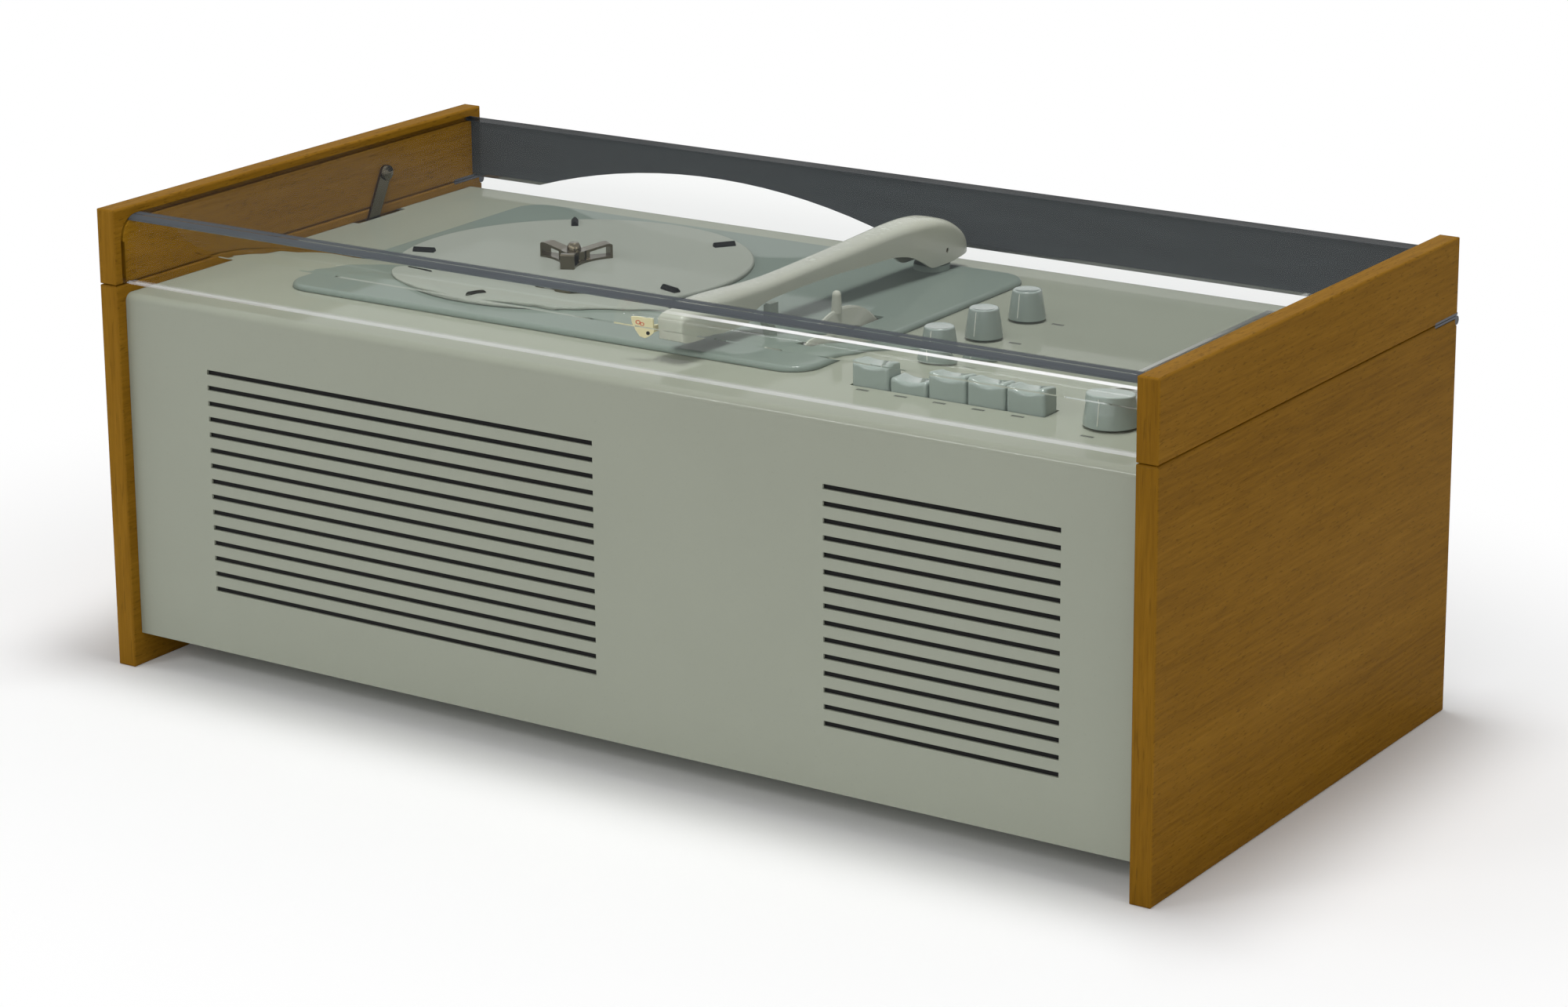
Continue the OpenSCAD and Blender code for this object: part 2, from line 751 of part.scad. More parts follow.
// The stay hangs from its screw on the left lid side and drops through a notch in the deck
stay_y = wood_y - stay_back;
stay_z = split_z + 17.15;
stay_screw_r = 2.5;
stay_off = 0.5;
stay_slot_y0 = stay_y - 26;
stay_slot_y1 = stay_y + 13;

module stay_arm() {
    color(steel_c) translate([in_l + stay_off, stay_y, stay_z]) rotate([-stay_lean, 0, 0])
        difference() {
            union() {
                rod_x(0, stay_t, 0, 0, stay_w / 2);
                block([0, -stay_w / 2, -stay_l], [stay_t, stay_w / 2, 0]);
                block([0, -stay_w / 2 - 2, -stay_l], [stay_t, 0, -stay_l + 5]);
            }
            rod_x(-1, stay_t + 1, 0, 0, stay_screw_r + run_gap);
        }
}

module stay_screw() {
    color(steel_c) difference() {
        union() {
            rod_x(in_l - 6, in_l + stay_off + stay_t + 0.2, stay_y, stay_z, stay_screw_r);
            translate([in_l + stay_off + stay_t + 0.2, stay_y, stay_z]) rotate([0, 90, 0])
                rotate_extrude() polygon([[0, 0], [4.2, 0], [3.8, 1.2], [0, 2]]);
        }
        block([in_l + stay_off + stay_t + 1.3, stay_y - 5, stay_z - 0.5],
            [in_l + stay_off + stay_t + 4, stay_y + 5, stay_z + 0.5]);
    }
}

bearing_r = 7;
idler_stud_r = 1.5;
pulley_hole_r = 9;

module turntable_plate() {
    wall_in = 2 * plate_t;
    color(plate_c) difference() {
        union() {
            difference() {
                translate([(plate_x0 + plate_x1) / 2, (plate_y0 + plate_y1) / 2, plate_low])
                    soft_slab(plate_w, plate_d, plate_z - plate_low, plate_corner_r, plate_edge_r);
                translate([(plate_x0 + plate_x1) / 2, (plate_y0 + plate_y1) / 2, plate_low - 1])
                    soft_slab(plate_w - wall_in, plate_d - wall_in, plate_z - plate_t - plate_low + 1,
                        plate_corner_r - plate_t, plate_edge_r / 2);
            }
            rod_z(spindle_x, spindle_y, well_z - plate_t, plate_z - plate_t / 2, well_r + plate_t);
            cup_places() rod_z(0, 0, deck_under - cup_depth + sheet_t + 3, plate_z - plate_t / 2, stud_r);
        }
        difference() {
            rod_z(spindle_x, spindle_y, well_z, plate_z + 1, well_r);
            rod_z(idler_x, idler_y, well_z - 1, idler_z0 - 0.4, idler_stud_r + 1.5);
            rod_z(idler_x, idler_y, well_z - 1, idler_z0 + idler_hub_h + 0.6, idler_stud_r);
        }
        rod_z(spindle_x, spindle_y, well_z - plate_t - 1, well_z + 1, bearing_r + seat_gap);
        rod_z(motor_x, motor_y, well_z - plate_t - 1, well_z + 1, pulley_hole_r);
        rod_z(pivot_x, pivot_y, plate_low - 1, plate_z + 1, pivot_sleeve_r + seat_gap);
        block([selector_x - selector_t / 2 - 1.5, selector_y - selector_chord - 2, plate_low - 1],
            [selector_x + selector_t / 2 + 1.5, selector_y + selector_chord + 2, plate_z + 1]);
        arm_place(rest_s, rest_off) rod_z(0, 0, plate_low - 1, plate_z + 1, 1.6);
    }
}

module plate_springs() {
    color(steel_c) cup_places() difference() {
        rod_z(0, 0, deck_under - cup_depth + sheet_t, plate_z - plate_t, spring_r);
        rod_z(0, 0, deck_under - cup_depth, plate_z + 1, stud_r + free_gap);
    }
}

// Platter with its turned-down edge, drive rim and hub
module platter() {
    lip_z = plate_z + 0.4;
    edge_r = 1;
    color([0.60, 0.62, 0.58]) translate([spindle_x, spindle_y, 0]) rotate_extrude($fn = 128)
        difference() {
            union() {
                translate([0, platter_z - platter_t]) square([platter_r - edge_r, platter_t]);
                translate([platter_r - edge_r - 0.5, platter_z - platter_t])
                    square([edge_r + 0.5, platter_t - edge_r]);
                translate([platter_r - edge_r, platter_z - edge_r]) circle(r = edge_r, $fn = 32);
                translate([platter_r - 1.2, lip_z]) square([1.2, platter_z - edge_r - lip_z]);
                translate([drive_rim_r, well_z + 2.6]) square([1.4, platter_z - well_z - 3]);
                translate([0, hub_low]) square([9, platter_z - hub_low]);
            }
            translate([-1, hub_low - 1]) square([1 + spindle_r + 0.02, 60]);
        }
}

// Rubber ribs on the platter
module platter_pads() {
    pad_mid_r = platter_r - 10.2;
    color(dark_c) translate([spindle_x, spindle_y, platter_z]) for (i = [0:pad_count - 1])
        rotate([0, 0, -18 + 360 / pad_count * i]) translate([pad_mid_r - pad_l / 2, 0, 0])
            rotate([90, 0, 90]) linear_extrude(pad_l) polygon([[-pad_w / 2, 0], [pad_w / 2, 0],
                [pad_w / 2, pad_h * 0.3], [pad_w / 8, pad_h], [-pad_w / 8, pad_h],
                [-pad_w / 2, pad_h * 0.3]]);
}

// Three looped arms on a base with hollowed sides, for records with a large hole
module centre_adapter() {
    low = platter_z;
    strip = 1.1;
    hub_r = 6.2;
    corner = adapter_r * cos(60) + adapter_w / 2 * sin(60);
    hollow_d = (adapter_r * adapter_r + adapter_w * adapter_w / 4 - adapter_waist * adapter_waist)
        / (2 * (corner - adapter_waist));
    color(steel_c) translate([spindle_x, spindle_y, low]) difference() {
        union() {
            cylinder(r = hub_r, h = adapter_h - 2);
            difference() {
                cylinder(r = adapter_r - 0.2, h = strip);
                for (i = [0:2]) rotate([0, 0, 236 + 120 * i]) translate([hollow_d, 0, -1])
                    cylinder(r = hollow_d - adapter_waist, h = strip + 2);
            }
            for (i = [0:2]) rotate([0, 0, 176 + 120 * i]) rotate([90, 0, 0])
                translate([0, 0, -adapter_w / 2]) linear_extrude(adapter_w) difference() {
                    polygon([[4.2, 0], [adapter_r, 0], [adapter_r, adapter_h - 0.6],
                        [adapter_r - 1, adapter_h], [adapter_r - 3, adapter_h], [4.2, adapter_h - 2.4]]);
                    polygon([[hub_r + 0.8, strip], [adapter_r - strip, strip],
                        [adapter_r - strip, adapter_h - 1.6], [adapter_r - 2.6, adapter_h - strip],
                        [hub_r + 0.8, adapter_h - 3.1]]);
                }
        }
        translate([0, 0, -1]) cylinder(r = spindle_r + run_gap, h = adapter_h + 2);
    }
}

bearing_low = well_z - 22;

module spindle_shaft() {
    top = platter_z + spindle_tip;
    color(steel_c) translate([spindle_x, spindle_y, 0]) rotate_extrude() {
        translate([0, bearing_low + 1.7]) square([spindle_r, top - 3.4 - bearing_low - 1.7]);
        translate([0, top - 3.4]) intersection() {
            translate([-1.1, 0]) circle(r = spindle_r + 1.1);
            square([spindle_r, 3.4]);
        }
    }
}

module platter_bearing() {
    color(steel_c) difference() {
        union() {
            rod_z(spindle_x, spindle_y, bearing_low, well_z + 1.2, bearing_r);
            rod_z(spindle_x, spindle_y, well_z - plate_t - 2, well_z - plate_t, bearing_r + 8);
        }
        rod_z(spindle_x, spindle_y, bearing_low + 1.5, well_z + 3, spindle_r + run_gap);
    }
}

idler_z0 = step_z0 + 2 * step_h - 2.2;
idler_hub_h = 6.2;

module idler_wheel() {
    rim_z = step_z0 + 2 * step_h + 0.35;
    color(dark_c) difference() {
        union() {
            rod_z(idler_x, idler_y, rim_z, rim_z + 2, idler_r);
            rod_z(idler_x, idler_y, idler_z0, idler_z0 + idler_hub_h, 5);
        }
        rod_z(idler_x, idler_y, idler_z0 - 1, idler_z0 + idler_hub_h + 1, idler_stud_r + run_gap);
    }
}

motor_shaft_r = 2;

// Motor with its stack of plates, hung from the plate by three posts
module motor() {
    bell_r = motor_r - 6;
    stack_low = motor_top - motor_h + 10;
    color(steel_c) difference() {
        union() {
            rod_z(motor_x, motor_y, motor_top - motor_h, motor_top, bell_r);
            rod_z(motor_x, motor_y, motor_top - 1, motor_top + 1.6, motor_r + 2);
            block([motor_x - motor_r, motor_y - motor_r + 3, stack_low],
                [motor_x + motor_r, motor_y + motor_r - 3, motor_top - 12]);
            for (a = [60, 180, 300]) translate([motor_x, motor_y, 0]) rotate([0, 0, a])
                rod_z(motor_r - 2, 0, motor_top + 1, well_z - plate_t, 2.5);
        }
        rod_z(motor_x, motor_y, motor_top - motor_h + 6, motor_top + 2, motor_shaft_r + run_gap);
    }
}

// Motor shaft with one step for each record speed
module motor_pulley() {
    color([0.75, 0.65, 0.35]) {
        rod_z(motor_x, motor_y, motor_top - motor_h + 6.3, step_z0, motor_shaft_r);
        for (i = [0:3])
            rod_z(motor_x, motor_y, step_z0 + i * step_h, step_z0 + (i + 1) * step_h, step_radii[i]);
    }
}

// Tonearm stations: distance in front of the pivot, width, underside and top above the plate
arm_stations = [
    [-23.0, 8.0, 5.6, 7.4],
    [-21.5, 11.5, 5.4, 10.2],
    [-18.0, 15.0, 5.2, 15.4],
    [-12.0, 17.6, 4.8, 20.2],
    [-4.0, 18.6, 4.0, 24.4],
    [6.0, 19.0, 3.8, 27.2],
    [13.5, 19.0, 4.2, 28.1],
    [20.0, 18.8, 7.8, 28.4],
    [30.0, 18.0, 12.4, 28.3],
    [43.0, 16.6, 14.8, 27.7],
    [64.0, 15.2, 15.1, 26.3],
    [85.0, 14.2, 15.5, 24.9],
    [105.0, 13.6, 15.2, 23.7],
    [126.0, 13.6, 14.6, 22.6],
    [140.0, 14.2, 13.8, 22.3],
    [150.0, 14.9, 11.6, 22.5],
    [159.0, 15.6, 8.4, 22.8],
    [168.0, 16.0, 6.8, 23.1],
    [180.0, 16.4, 6.5, 23.3],
    [192.0, 16.4, 6.5, 22.7],
    [199.0, 16.0, 6.6, 21.4],
    [202.5, 15.0, 7.0, 19.8],
    [203.5, 13.6, 7.6, 18.4]];

function cubic(a, b, c, d, t) = b + 0.5 * t * (c - a + t * (2 * a - 5 * b + 4 * c - d + t * (3 * (b - c) + d - a)));

// A station between two listed ones, on a smooth curve through all of them
function arm_station(i, t) = let (n = len(arm_stations) - 1,
    a = arm_stations[max(i - 1, 0)], b = arm_stations[i],
    c = arm_stations[min(i + 1, n)], d = arm_stations[min(i + 2, n)])
    [for (k = [0:3]) cubic(a[k], b[k], c[k], d[k], t)];

arm_curve = concat([for (i = [0:len(arm_stations) - 2], t = [0, 0.5]) arm_station(i, t)],
    [arm_stations[len(arm_stations) - 1]]);
arm_scale_reach = arm_stations[len(arm_stations) - 1][0];
arm_scale = arm_reach / arm_scale_reach;
arm_arc = 12;

// One ring of the arm: x across, y forwards, z above the plate, drawn in by the wall
function arm_ring(s, w, low, top, wall) = let (half = w / 2 - wall, high = top - wall,
    rise = min(0.62 * half, high - low - 1))
    concat([[half, s, low]],
        [for (k = [0:arm_arc]) let (a = 180 * k / arm_arc)
            [half * sign(cos(a)) * pow(abs(cos(a)), 0.62), s, high - rise + rise * pow(sin(a), 0.7)]],
        [[-half, s, low]]);

module ring_solid(rings) {
    n = len(rings[0]);
    last = len(rings) - 1;
    polyhedron(points = [for (ring = rings, p = ring) p], faces = concat(
        [[for (k = [0:n - 1]) k]],
        [[for (k = [n - 1:-1:0]) last * n + k]],
        [for (j = [0:last - 1], k = [0:n - 1]) let (m = (k + 1) % n)
            [j * n + k, (j + 1) * n + k, (j + 1) * n + m]],
        [for (j = [0:last - 1], k = [0:n - 1]) let (m = (k + 1) % n)
            [j * n + k, (j + 1) * n + m, j * n + m]]));
}

// Put a piece at a distance in front of the pivot and to the right of the arm's middle
module arm_place(s, off) {
    translate([pivot_x, pivot_y, 0]) rotate([0, 0, -arm_turn]) translate([off, -s, 0]) children();
}

module tonearm_shell() {
    outer = [for (p = arm_curve) arm_ring(-p[0] * arm_scale, p[1], p[2], p[3], 0)];
    inner = [for (p = arm_curve) if (p[0] > arm_stations[0][0] + 2.5 && p[0] < arm_scale_reach - 2)
        arm_ring(-p[0] * arm_scale, p[1], p[2] - 3, p[3], arm_wall)];
    color(cream_c) difference() {
        arm_place(0, 0) translate([0, 0, plate_z]) difference() {
            ring_solid(outer);
            ring_solid(inner);
        }
        arm_place(0, 0) rod_x(-12, 12, 0, lift_z, lift_pin_r + 0.01);
        arm_place(stylus_s, 0) rod_x(-12, 0, 0, stylus_axis_z, stylus_rod_r + run_gap);
    }
}

stylus_rod_r = 1.3;

// Pickup in the head, with two ears that carry the stylus rod
module cartridge() {
    low = plate_z + 8.2;
    top = plate_z + arm_stations[18][3] - arm_wall - 0.8;
    ear_in = 3.6;
    ear_out = 5.2;
    front_s = stylus_s - stylus_reach - 1.2;
    color(dark_c) arm_place(0, 0) difference() {
        union() {
            block([-ear_out, -front_s, low], [ear_out, -front_s + 18, low + 8.5]);
            block([-3, -front_s + 3, low + 8], [3, -front_s + 14, top]);
            for (x = [-ear_out, ear_in])
                block([x, -stylus_s - 2.4, stylus_axis_z - 2.4],
                    [x + ear_out - ear_in, -front_s + 1, stylus_axis_z + 2.4]);
        }
        rod_x(-12, 12, -stylus_s, stylus_axis_z, stylus_rod_r + run_gap);
    }
}

// Turn-over stylus: a rod across the head with two tips, and a flag beside the head
module stylus_lever() {
    tip_l = 0.9;
    side = arm_stations[19][1] / 2 + 0.5;
    flag_turn = 17;
    color([0.86, 0.80, 0.62]) arm_place(stylus_s, 0) translate([0, 0, stylus_axis_z]) {
        rod_x(-side - 1.5, 5.6, 0, 0, stylus_rod_r);
        rod_x(-3.2, 3.2, 0, 0, 2.2);
        rod_x(-side - 1.5, -side, 0, 0, 2.2);
        for (turn = [0, 180]) rotate([turn, 0, 0]) {
            rod_z(0, 0, -stylus_reach + tip_l, 0, tip_l);
            translate([0, 0, -stylus_reach]) cylinder(r1 = 0.2, r2 = tip_l, h = tip_l);
        }
        block([-side - 1.5, -10.4, -1.2], [-side, 0, 1.2]);
        translate([-side, -10.1, 0]) rotate([0, 0, flag_turn]) rotate([90, 0, 0])
            linear_extrude(1.4) polygon([[0, -1.2], [-2, -3], [-4.4, -4.2], [-7, -3.4], [-9.2, -0.4],
                [-10.2, 3], [-10.5, 5.6], [-7.6, 5.9], [-3, 5.4], [-1, 5.8], [0, 5.3]]);
    }
}

pivot_sleeve_r = 5;

module pivot_base() {
    color(plate_c) difference() {
        union() {
            rod_z(pivot_x, pivot_y, plate_z, plate_z + 3, pivot_ring_r);
            rod_z(pivot_x, pivot_y, plate_z - 20, plate_z + 1, pivot_sleeve_r);
        }
        rod_z(pivot_x, pivot_y, plate_z - 21, plate_z + 4, arm_shaft_r + run_gap);
    }
}

module pivot_yoke() {
    ear_in = 4.2;
    ear_out = 5.8;
    color(steel_c) difference() {
        union() {
            rod_z(pivot_x, pivot_y, plate_z - 19, plate_z + 4, arm_shaft_r);
            rod_z(pivot_x, pivot_y, plate_z + 3.2, plate_z + 5, ear_out);
            arm_place(0, 0) for (s = [-1, 1]) {
                x0 = s > 0 ? ear_in : -ear_out;
                intersection() {
                    block([x0, -4, plate_z + 4], [x0 + ear_out - ear_in, 4, lift_z + 4]);
                    union() {
                        block([x0, -4, plate_z + 3], [x0 + 3, 4, lift_z]);
                        rod_x(x0, x0 + 3, 0, lift_z, 4);
                    }
                }
            }
        }
        arm_place(0, 0) rod_x(-12, 12, 0, lift_z, lift_pin_r + run_gap);
    }
}

module lift_pin() {
    color(steel_c) arm_place(0, 0) rod_x(-8.7, 8.7, 0, lift_z, lift_pin_r);
}

// Post with a shelf under the resting arm and a slightly higher guard on its outer side
module arm_rest() {
    half_l = 2.8;
    half_w = 2.1;
    guard_top = plate_z + 13.4;
    shelf_top = plate_z + 12.5;
    color([0.45, 0.47, 0.44]) arm_place(rest_s, rest_off) {
        block([-half_w, -half_l, plate_z], [half_w, half_l, shelf_top]);
        block([-1.1, -half_l, plate_z], [half_w, half_l, guard_top]);
        rod_z(0, 0, plate_z - 4, plate_z + 1, 1.5);
    }
}

selector_axle_r = 2.5;
selector_ear = 1.5;
ear_in_x = selector_t / 2 + 2;

// Half-sunk speed wheel: the part of a disc round its top, with a finger pin
module selector_wheel() {
    half = 56;
    edge = 2;
    color(cream_c) translate([selector_x, selector_y, selector_z]) {
        intersection() {
            rotate([0, 90, 0]) rotate_extrude($fn = 128) polygon([[0, -selector_t / 2],
                [selector_r - 9, -selector_t / 2], [selector_r - 1, -edge / 2],
                [selector_r, -edge / 4], [selector_r, edge / 4], [selector_r - 1, edge / 2],
                [selector_r - 9, selector_t / 2], [0, selector_t / 2]]);
            rotate([90, 0, 90]) translate([0, 0, -selector_t]) linear_extrude(2 * selector_t)
                polygon([[0, -4], [1.2 * selector_r * sin(half), 1.2 * selector_r * cos(half) - 4],
                    [1.2 * selector_r * sin(half), selector_r + 1],
                    [-1.2 * selector_r * sin(half), selector_r + 1],
                    [-1.2 * selector_r * sin(half), 1.2 * selector_r * cos(half) - 4]]);
        }
        rod_x(-ear_in_x + 0.2, ear_in_x - 0.2, 0, 0, 6);
        rod_x(-ear_in_x - selector_ear - 0.5, ear_in_x + selector_ear + 0.5, 0, 0, selector_axle_r);
        translate([0, -3.5, selector_r - 2]) cylinder(r1 = 2.6, r2 = 2.1, h = finger_pin_h + 1.4);
        translate([0, -3.5, selector_r + finger_pin_h - 0.7])
            intersection() {
                sphere(r = 2.1, $fn = 32);
                translate([-3, -3, 0]) cube([6, 6, 3]);
            }
    }
}

module selector_bracket() {
    top = plate_z - plate_t;
    flange_out = 8;
    color(steel_c) difference() {
        for (s = [-1, 1]) {
            x0 = s > 0 ? selector_x + ear_in_x : selector_x - ear_in_x - selector_ear;
            f0 = s > 0 ? x0 : x0 - flange_out + selector_ear;
            block([x0, selector_y - 7, selector_z - 7], [x0 + selector_ear, selector_y + 7, top]);
            block([f0, selector_y - 7, top - 1.2], [f0 + flange_out, selector_y + 7, top]);
        }
        rod_x(selector_x - 12, selector_x + 12, selector_y, selector_z, selector_axle_r + run_gap);
    }
}

// Conical knob with a drawn-in foot and its shaft, standing at the origin of its place
module knob(foot_r, top_r, shaft_l) {
    lip = 1.3;
    round_r = 0.6;
    color(knob_c) rotate_extrude() {
        difference() {
            polygon([[0, 0], [foot_r - 0.7, 0], [foot_r, lip], [top_r + 0.1, knob_h - round_r],
                [top_r - round_r, knob_h], [0, knob_h]]);
            translate([0, knob_h + 70]) circle(r = 70.25, $fn = 512);
        }
        translate([0, -shaft_l]) square([shaft_r, shaft_l + 1]);
    }
}

module knob_volume() {
    translate([knob_x, knob_y[0], knob_z]) knob(knob_r, knob_top_r, 20);
}

module knob_bass() {
    translate([knob_x, knob_y[1], knob_z]) knob(knob_r, knob_top_r, 20);
}

module knob_treble() {
    translate([knob_x, knob_y[2], knob_z]) knob(knob_r, knob_top_r, 20);
}

module knob_tuning() {
    translate([tuning_x, tuning_y, knob_z]) {
        knob(tuning_r, tuning_top_r, 32);
        color(knob_c) rod_z(0, 0, -32, -24, cord_spindle_r);
    }
}

// Potentiometers under the deck, and a plain bush for the tuning shaft
module control_pots() {
    bush_top = deck_z + knob_gap - free_gap;
    color(steel_c) knob_places() difference() {
        union() {
            rod_z(0, 0, pot_top - 1, bush_top, bush_r);
            rod_z(0, 0, pot_top - pot_h + 8, pot_top, bush_r + 4);
            rod_z(0, 0, pot_top, deck_under - seat_gap, bush_r + 2);
        }
        rod_z(0, 0, pot_top - pot_h - 4, bush_top + 1, shaft_r + run_gap);
    }
}

// One key with a hollowed top and a shank that runs in the switch bank
module key(i, drop) {
    x = key_x0 + i * key_pitch;
    top = deck_z + key_rise;
    dish_r = (key_w * key_w / 4 + key_dish * key_dish) / (2 * key_dish);
    mid = x + key_w / 2;
    color(knob_c) translate([0, 0, -drop]) {
        difference() {
            round_block([x, key_y0, key_foot], [x + key_w, key_y1, top + 0.6], 1);
            rod_y(mid, key_y0 - 1, key_y1 + 1, top - key_dish + dish_r, dish_r, $fn = 128);
        }
        block([mid - 3, (key_y0 + key_y1) / 2 - 2, key_foot - shank_l],
            [mid + 3, (key_y0 + key_y1) / 2 + 2, key_foot + 2]);
    }
}

module key_1() {
    key(0, 0);
}

module key_2() {
    key(1, key_travel);
}

module key_3() {
    key(2, 0);
}

module key_4() {
    key(3, 0);
}

module key_5() {
    key(4, 0);
}

module key_bank() {
    mid_y = (key_y0 + key_y1) / 2;
    x0 = key_x0 - 2;
    x1 = key_x1 + 2;
    color(steel_c) difference() {
        union() {
            block([x0, key_y0 - 6, bank_top - bank_h], [x1, key_y1 + 6, bank_top]);
            for (x = [x0, x1 - 1.5]) {
                block([x, key_y0 - 6, bank_top - 1], [x + 1.5, key_y0 - 2, deck_under]);
                block([x, key_y1 + 2, bank_top - 1], [x + 1.5, key_y1 + 6, deck_under]);
            }
        }
        for (i = [0:key_count - 1]) {
            mid = key_x0 + i * key_pitch + key_w / 2;
            block([mid - 3 - free_gap, mid_y - 2 - free_gap, bank_top - bank_h - 1],
                [mid + 3 + free_gap, mid_y + 2 + free_gap, bank_top + 1]);
        }
    }
}

// Folded tray that stands on the floor sheet and carries the radio's parts
module chassis() {
    color(steel_c) difference() {
        union() {
            block([chassis_x0, chassis_y0, chassis_z], [chassis_x1, chassis_y1, chassis_top]);
            for (y = [chassis_y0, chassis_y1 - sheet_t]) {
                block([chassis_x0, y, base_z], [chassis_x1, y + sheet_t, chassis_top]);
            }
            for (y = [chassis_y0, chassis_y1 - 12])
                block([chassis_x0, y, base_z], [chassis_x1, y + 12, base_z + sheet_t]);
        }
        for (p = valve_places)
            rod_z(p.x, p.y, chassis_z - 1, chassis_top + 1, valve_r - 3);
        for (i = [0:socket_count - 1])
            rod_y(socket_x + (i - (socket_count - 1) / 2) * socket_pitch, chassis_y1 - 5,
                chassis_y1 + 1, socket_z, socket_r + 3);
    }
}

valve_places = [for (i = [0:4]) [chassis_x0 + 22 + i * 26, chassis_y0 + 30 + (i % 2) * 26]];

module valves() {
    color([0.80, 0.85, 0.88, 0.6]) for (p = valve_places) translate([p.x, p.y, chassis_top])
        rotate_extrude() {
            square([valve_r, valve_h - valve_r]);
            translate([0, valve_h - valve_r]) intersection() {
                circle(r = valve_r);
                square([valve_r, valve_r]);
            }
            square([valve_r + 1.5, 8]);
            translate([0, valve_h - 1]) square([1.8, 4]);
            translate([0, -9]) square([valve_r - 3.5, 10]);
        }
}

module mains_transformer() {
    x0 = chassis_x0 + 6;
    y0 = chassis_y1 - 62;
    color([0.30, 0.28, 0.26]) {
        block([x0, y0, chassis_top], [x0 + 60, y0 + 50, chassis_top + 22]);
        block([x0 + 10, y0 + 8, chassis_top + 20], [x0 + 50, y0 + 42, chassis_top + 50]);
        block([x0, y0, chassis_top + 50 - 6], [x0 + 60, y0 + 50, chassis_top + 50]);
        block([x0, y0, chassis_top + 20], [x0 + 9, y0 + 50, chassis_top + 46]);
        block([x0 + 51, y0, chassis_top + 20], [x0 + 60, y0 + 50, chassis_top + 46]);
    }
}

// Output transformer on the baffle, beside the loudspeaker
module output_transformer() {
    x0 = speaker_x + speaker_r + 10;
    y0 = speaker_y;
    color([0.30, 0.28, 0.26]) {
        block([x0, y0, grille_z - 24], [x0 + 30, y0 + 26, grille_z + 24]);
        block([x0 + 4, y0 + 25, grille_z - 15], [x0 + 26, y0 + 36, grille_z + 15]);
    }
}

// Places of the cans on the chassis
can_w = 20;
can_h = 48;
can_pitch = 30;
can_y = chassis_y0 + 84;
smoothing_r = 16;
smoothing_h = 66;
smoothing_x = chassis_x0 + 92;
smoothing_y = chassis_y1 - smoothing_r - 6;

module if_cans() {
    color([0.75, 0.76, 0.76]) for (i = [0:2]) {
        x = chassis_x0 + 12 + i * can_pitch;
        block([x, can_y, chassis_top], [x + can_w, can_y + can_w, chassis_top + can_h]);
    }
}

module smoothing_can() {
    color([0.75, 0.76, 0.76])
        rod_z(smoothing_x, smoothing_y, chassis_top, chassis_top + smoothing_h, smoothing_r);
}

vane_r = 20;
vane_t = 0.8;
vane_pitch = 3;
vane_count = 7;
gang_h = 34;
gang_top = drum_z - 6;
gang_low = gang_top - gang_h;
gang_shaft_r = 3;

// Frame of the tuning capacitor with its fixed vanes
module gang_frame() {
    w = 2 * vane_r + 8;
    color([0.70, 0.70, 0.66]) difference() {
        union() {
            block([drum_x - w / 2, drum_y - w / 2, gang_top - 2], [drum_x + w / 2, drum_y + w / 2, gang_top]);
            block([drum_x - w / 2, drum_y - w / 2, gang_low], [drum_x + w / 2, drum_y + w / 2, gang_low + 2]);
            block([drum_x - w / 2, drum_y + w / 2 - 2, chassis_top], [drum_x + w / 2, drum_y + w / 2, gang_top]);
            block([drum_x - w / 2, drum_y - w / 2, chassis_top], [drum_x + w / 2, drum_y - w / 2 + 2, gang_low + 2]);
            for (i = [0:vane_count - 1]) {
                z = gang_low + 5.6 + i * vane_pitch;
                block([drum_x - vane_r, drum_y + gang_shaft_r + 3, z],
                    [drum_x + vane_r, drum_y + w / 2 - 1, z + vane_t]);
            }
        }
        rod_z(drum_x, drum_y, gang_low - 1, gang_top + 1, gang_shaft_r + run_gap);
    }
}

// Moving vanes with their shaft and the cord drum
module gang_rotor() {
    color([0.78, 0.76, 0.70]) {
        rod_z(drum_x, drum_y, gang_low - 3, drum_z + 5, gang_shaft_r);
        rod_z(drum_x, drum_y, gang_low + 3, gang_top - 3, gang_shaft_r + 2);
        for (i = [0:vane_count - 1]) {
            z = gang_low + 4.1 + i * vane_pitch;
            intersection() {
                rod_z(drum_x, drum_y, z, z + vane_t, vane_r);
                rotate_about(drum_x, drum_y, 90)
                    block([drum_x - vane_r, drum_y, z - 1], [drum_x + vane_r, drum_y + vane_r, z + 2]);
            }
        }
        difference() {
            rod_z(drum_x, drum_y, drum_z, drum_z + 4, drum_r);
            for (a = [0:60:300]) rotate_about(drum_x, drum_y, a)
                rod_z(drum_x + drum_r * 0.58, drum_y, drum_z - 1, drum_z + 5, drum_r * 0.2);
        }
    }
}

module rotate_about(x, y, a) {
    translate([x, y, 0]) rotate([0, 0, a]) translate([-x, -y, 0]) children();
}

// Turn a profile of radius and depth about the loudspeaker's axis
module speaker_turn() {
    translate([speaker_x, speaker_y, grille_z]) rotate([-90, 0, 0]) rotate_extrude($fn = 96) children();
}

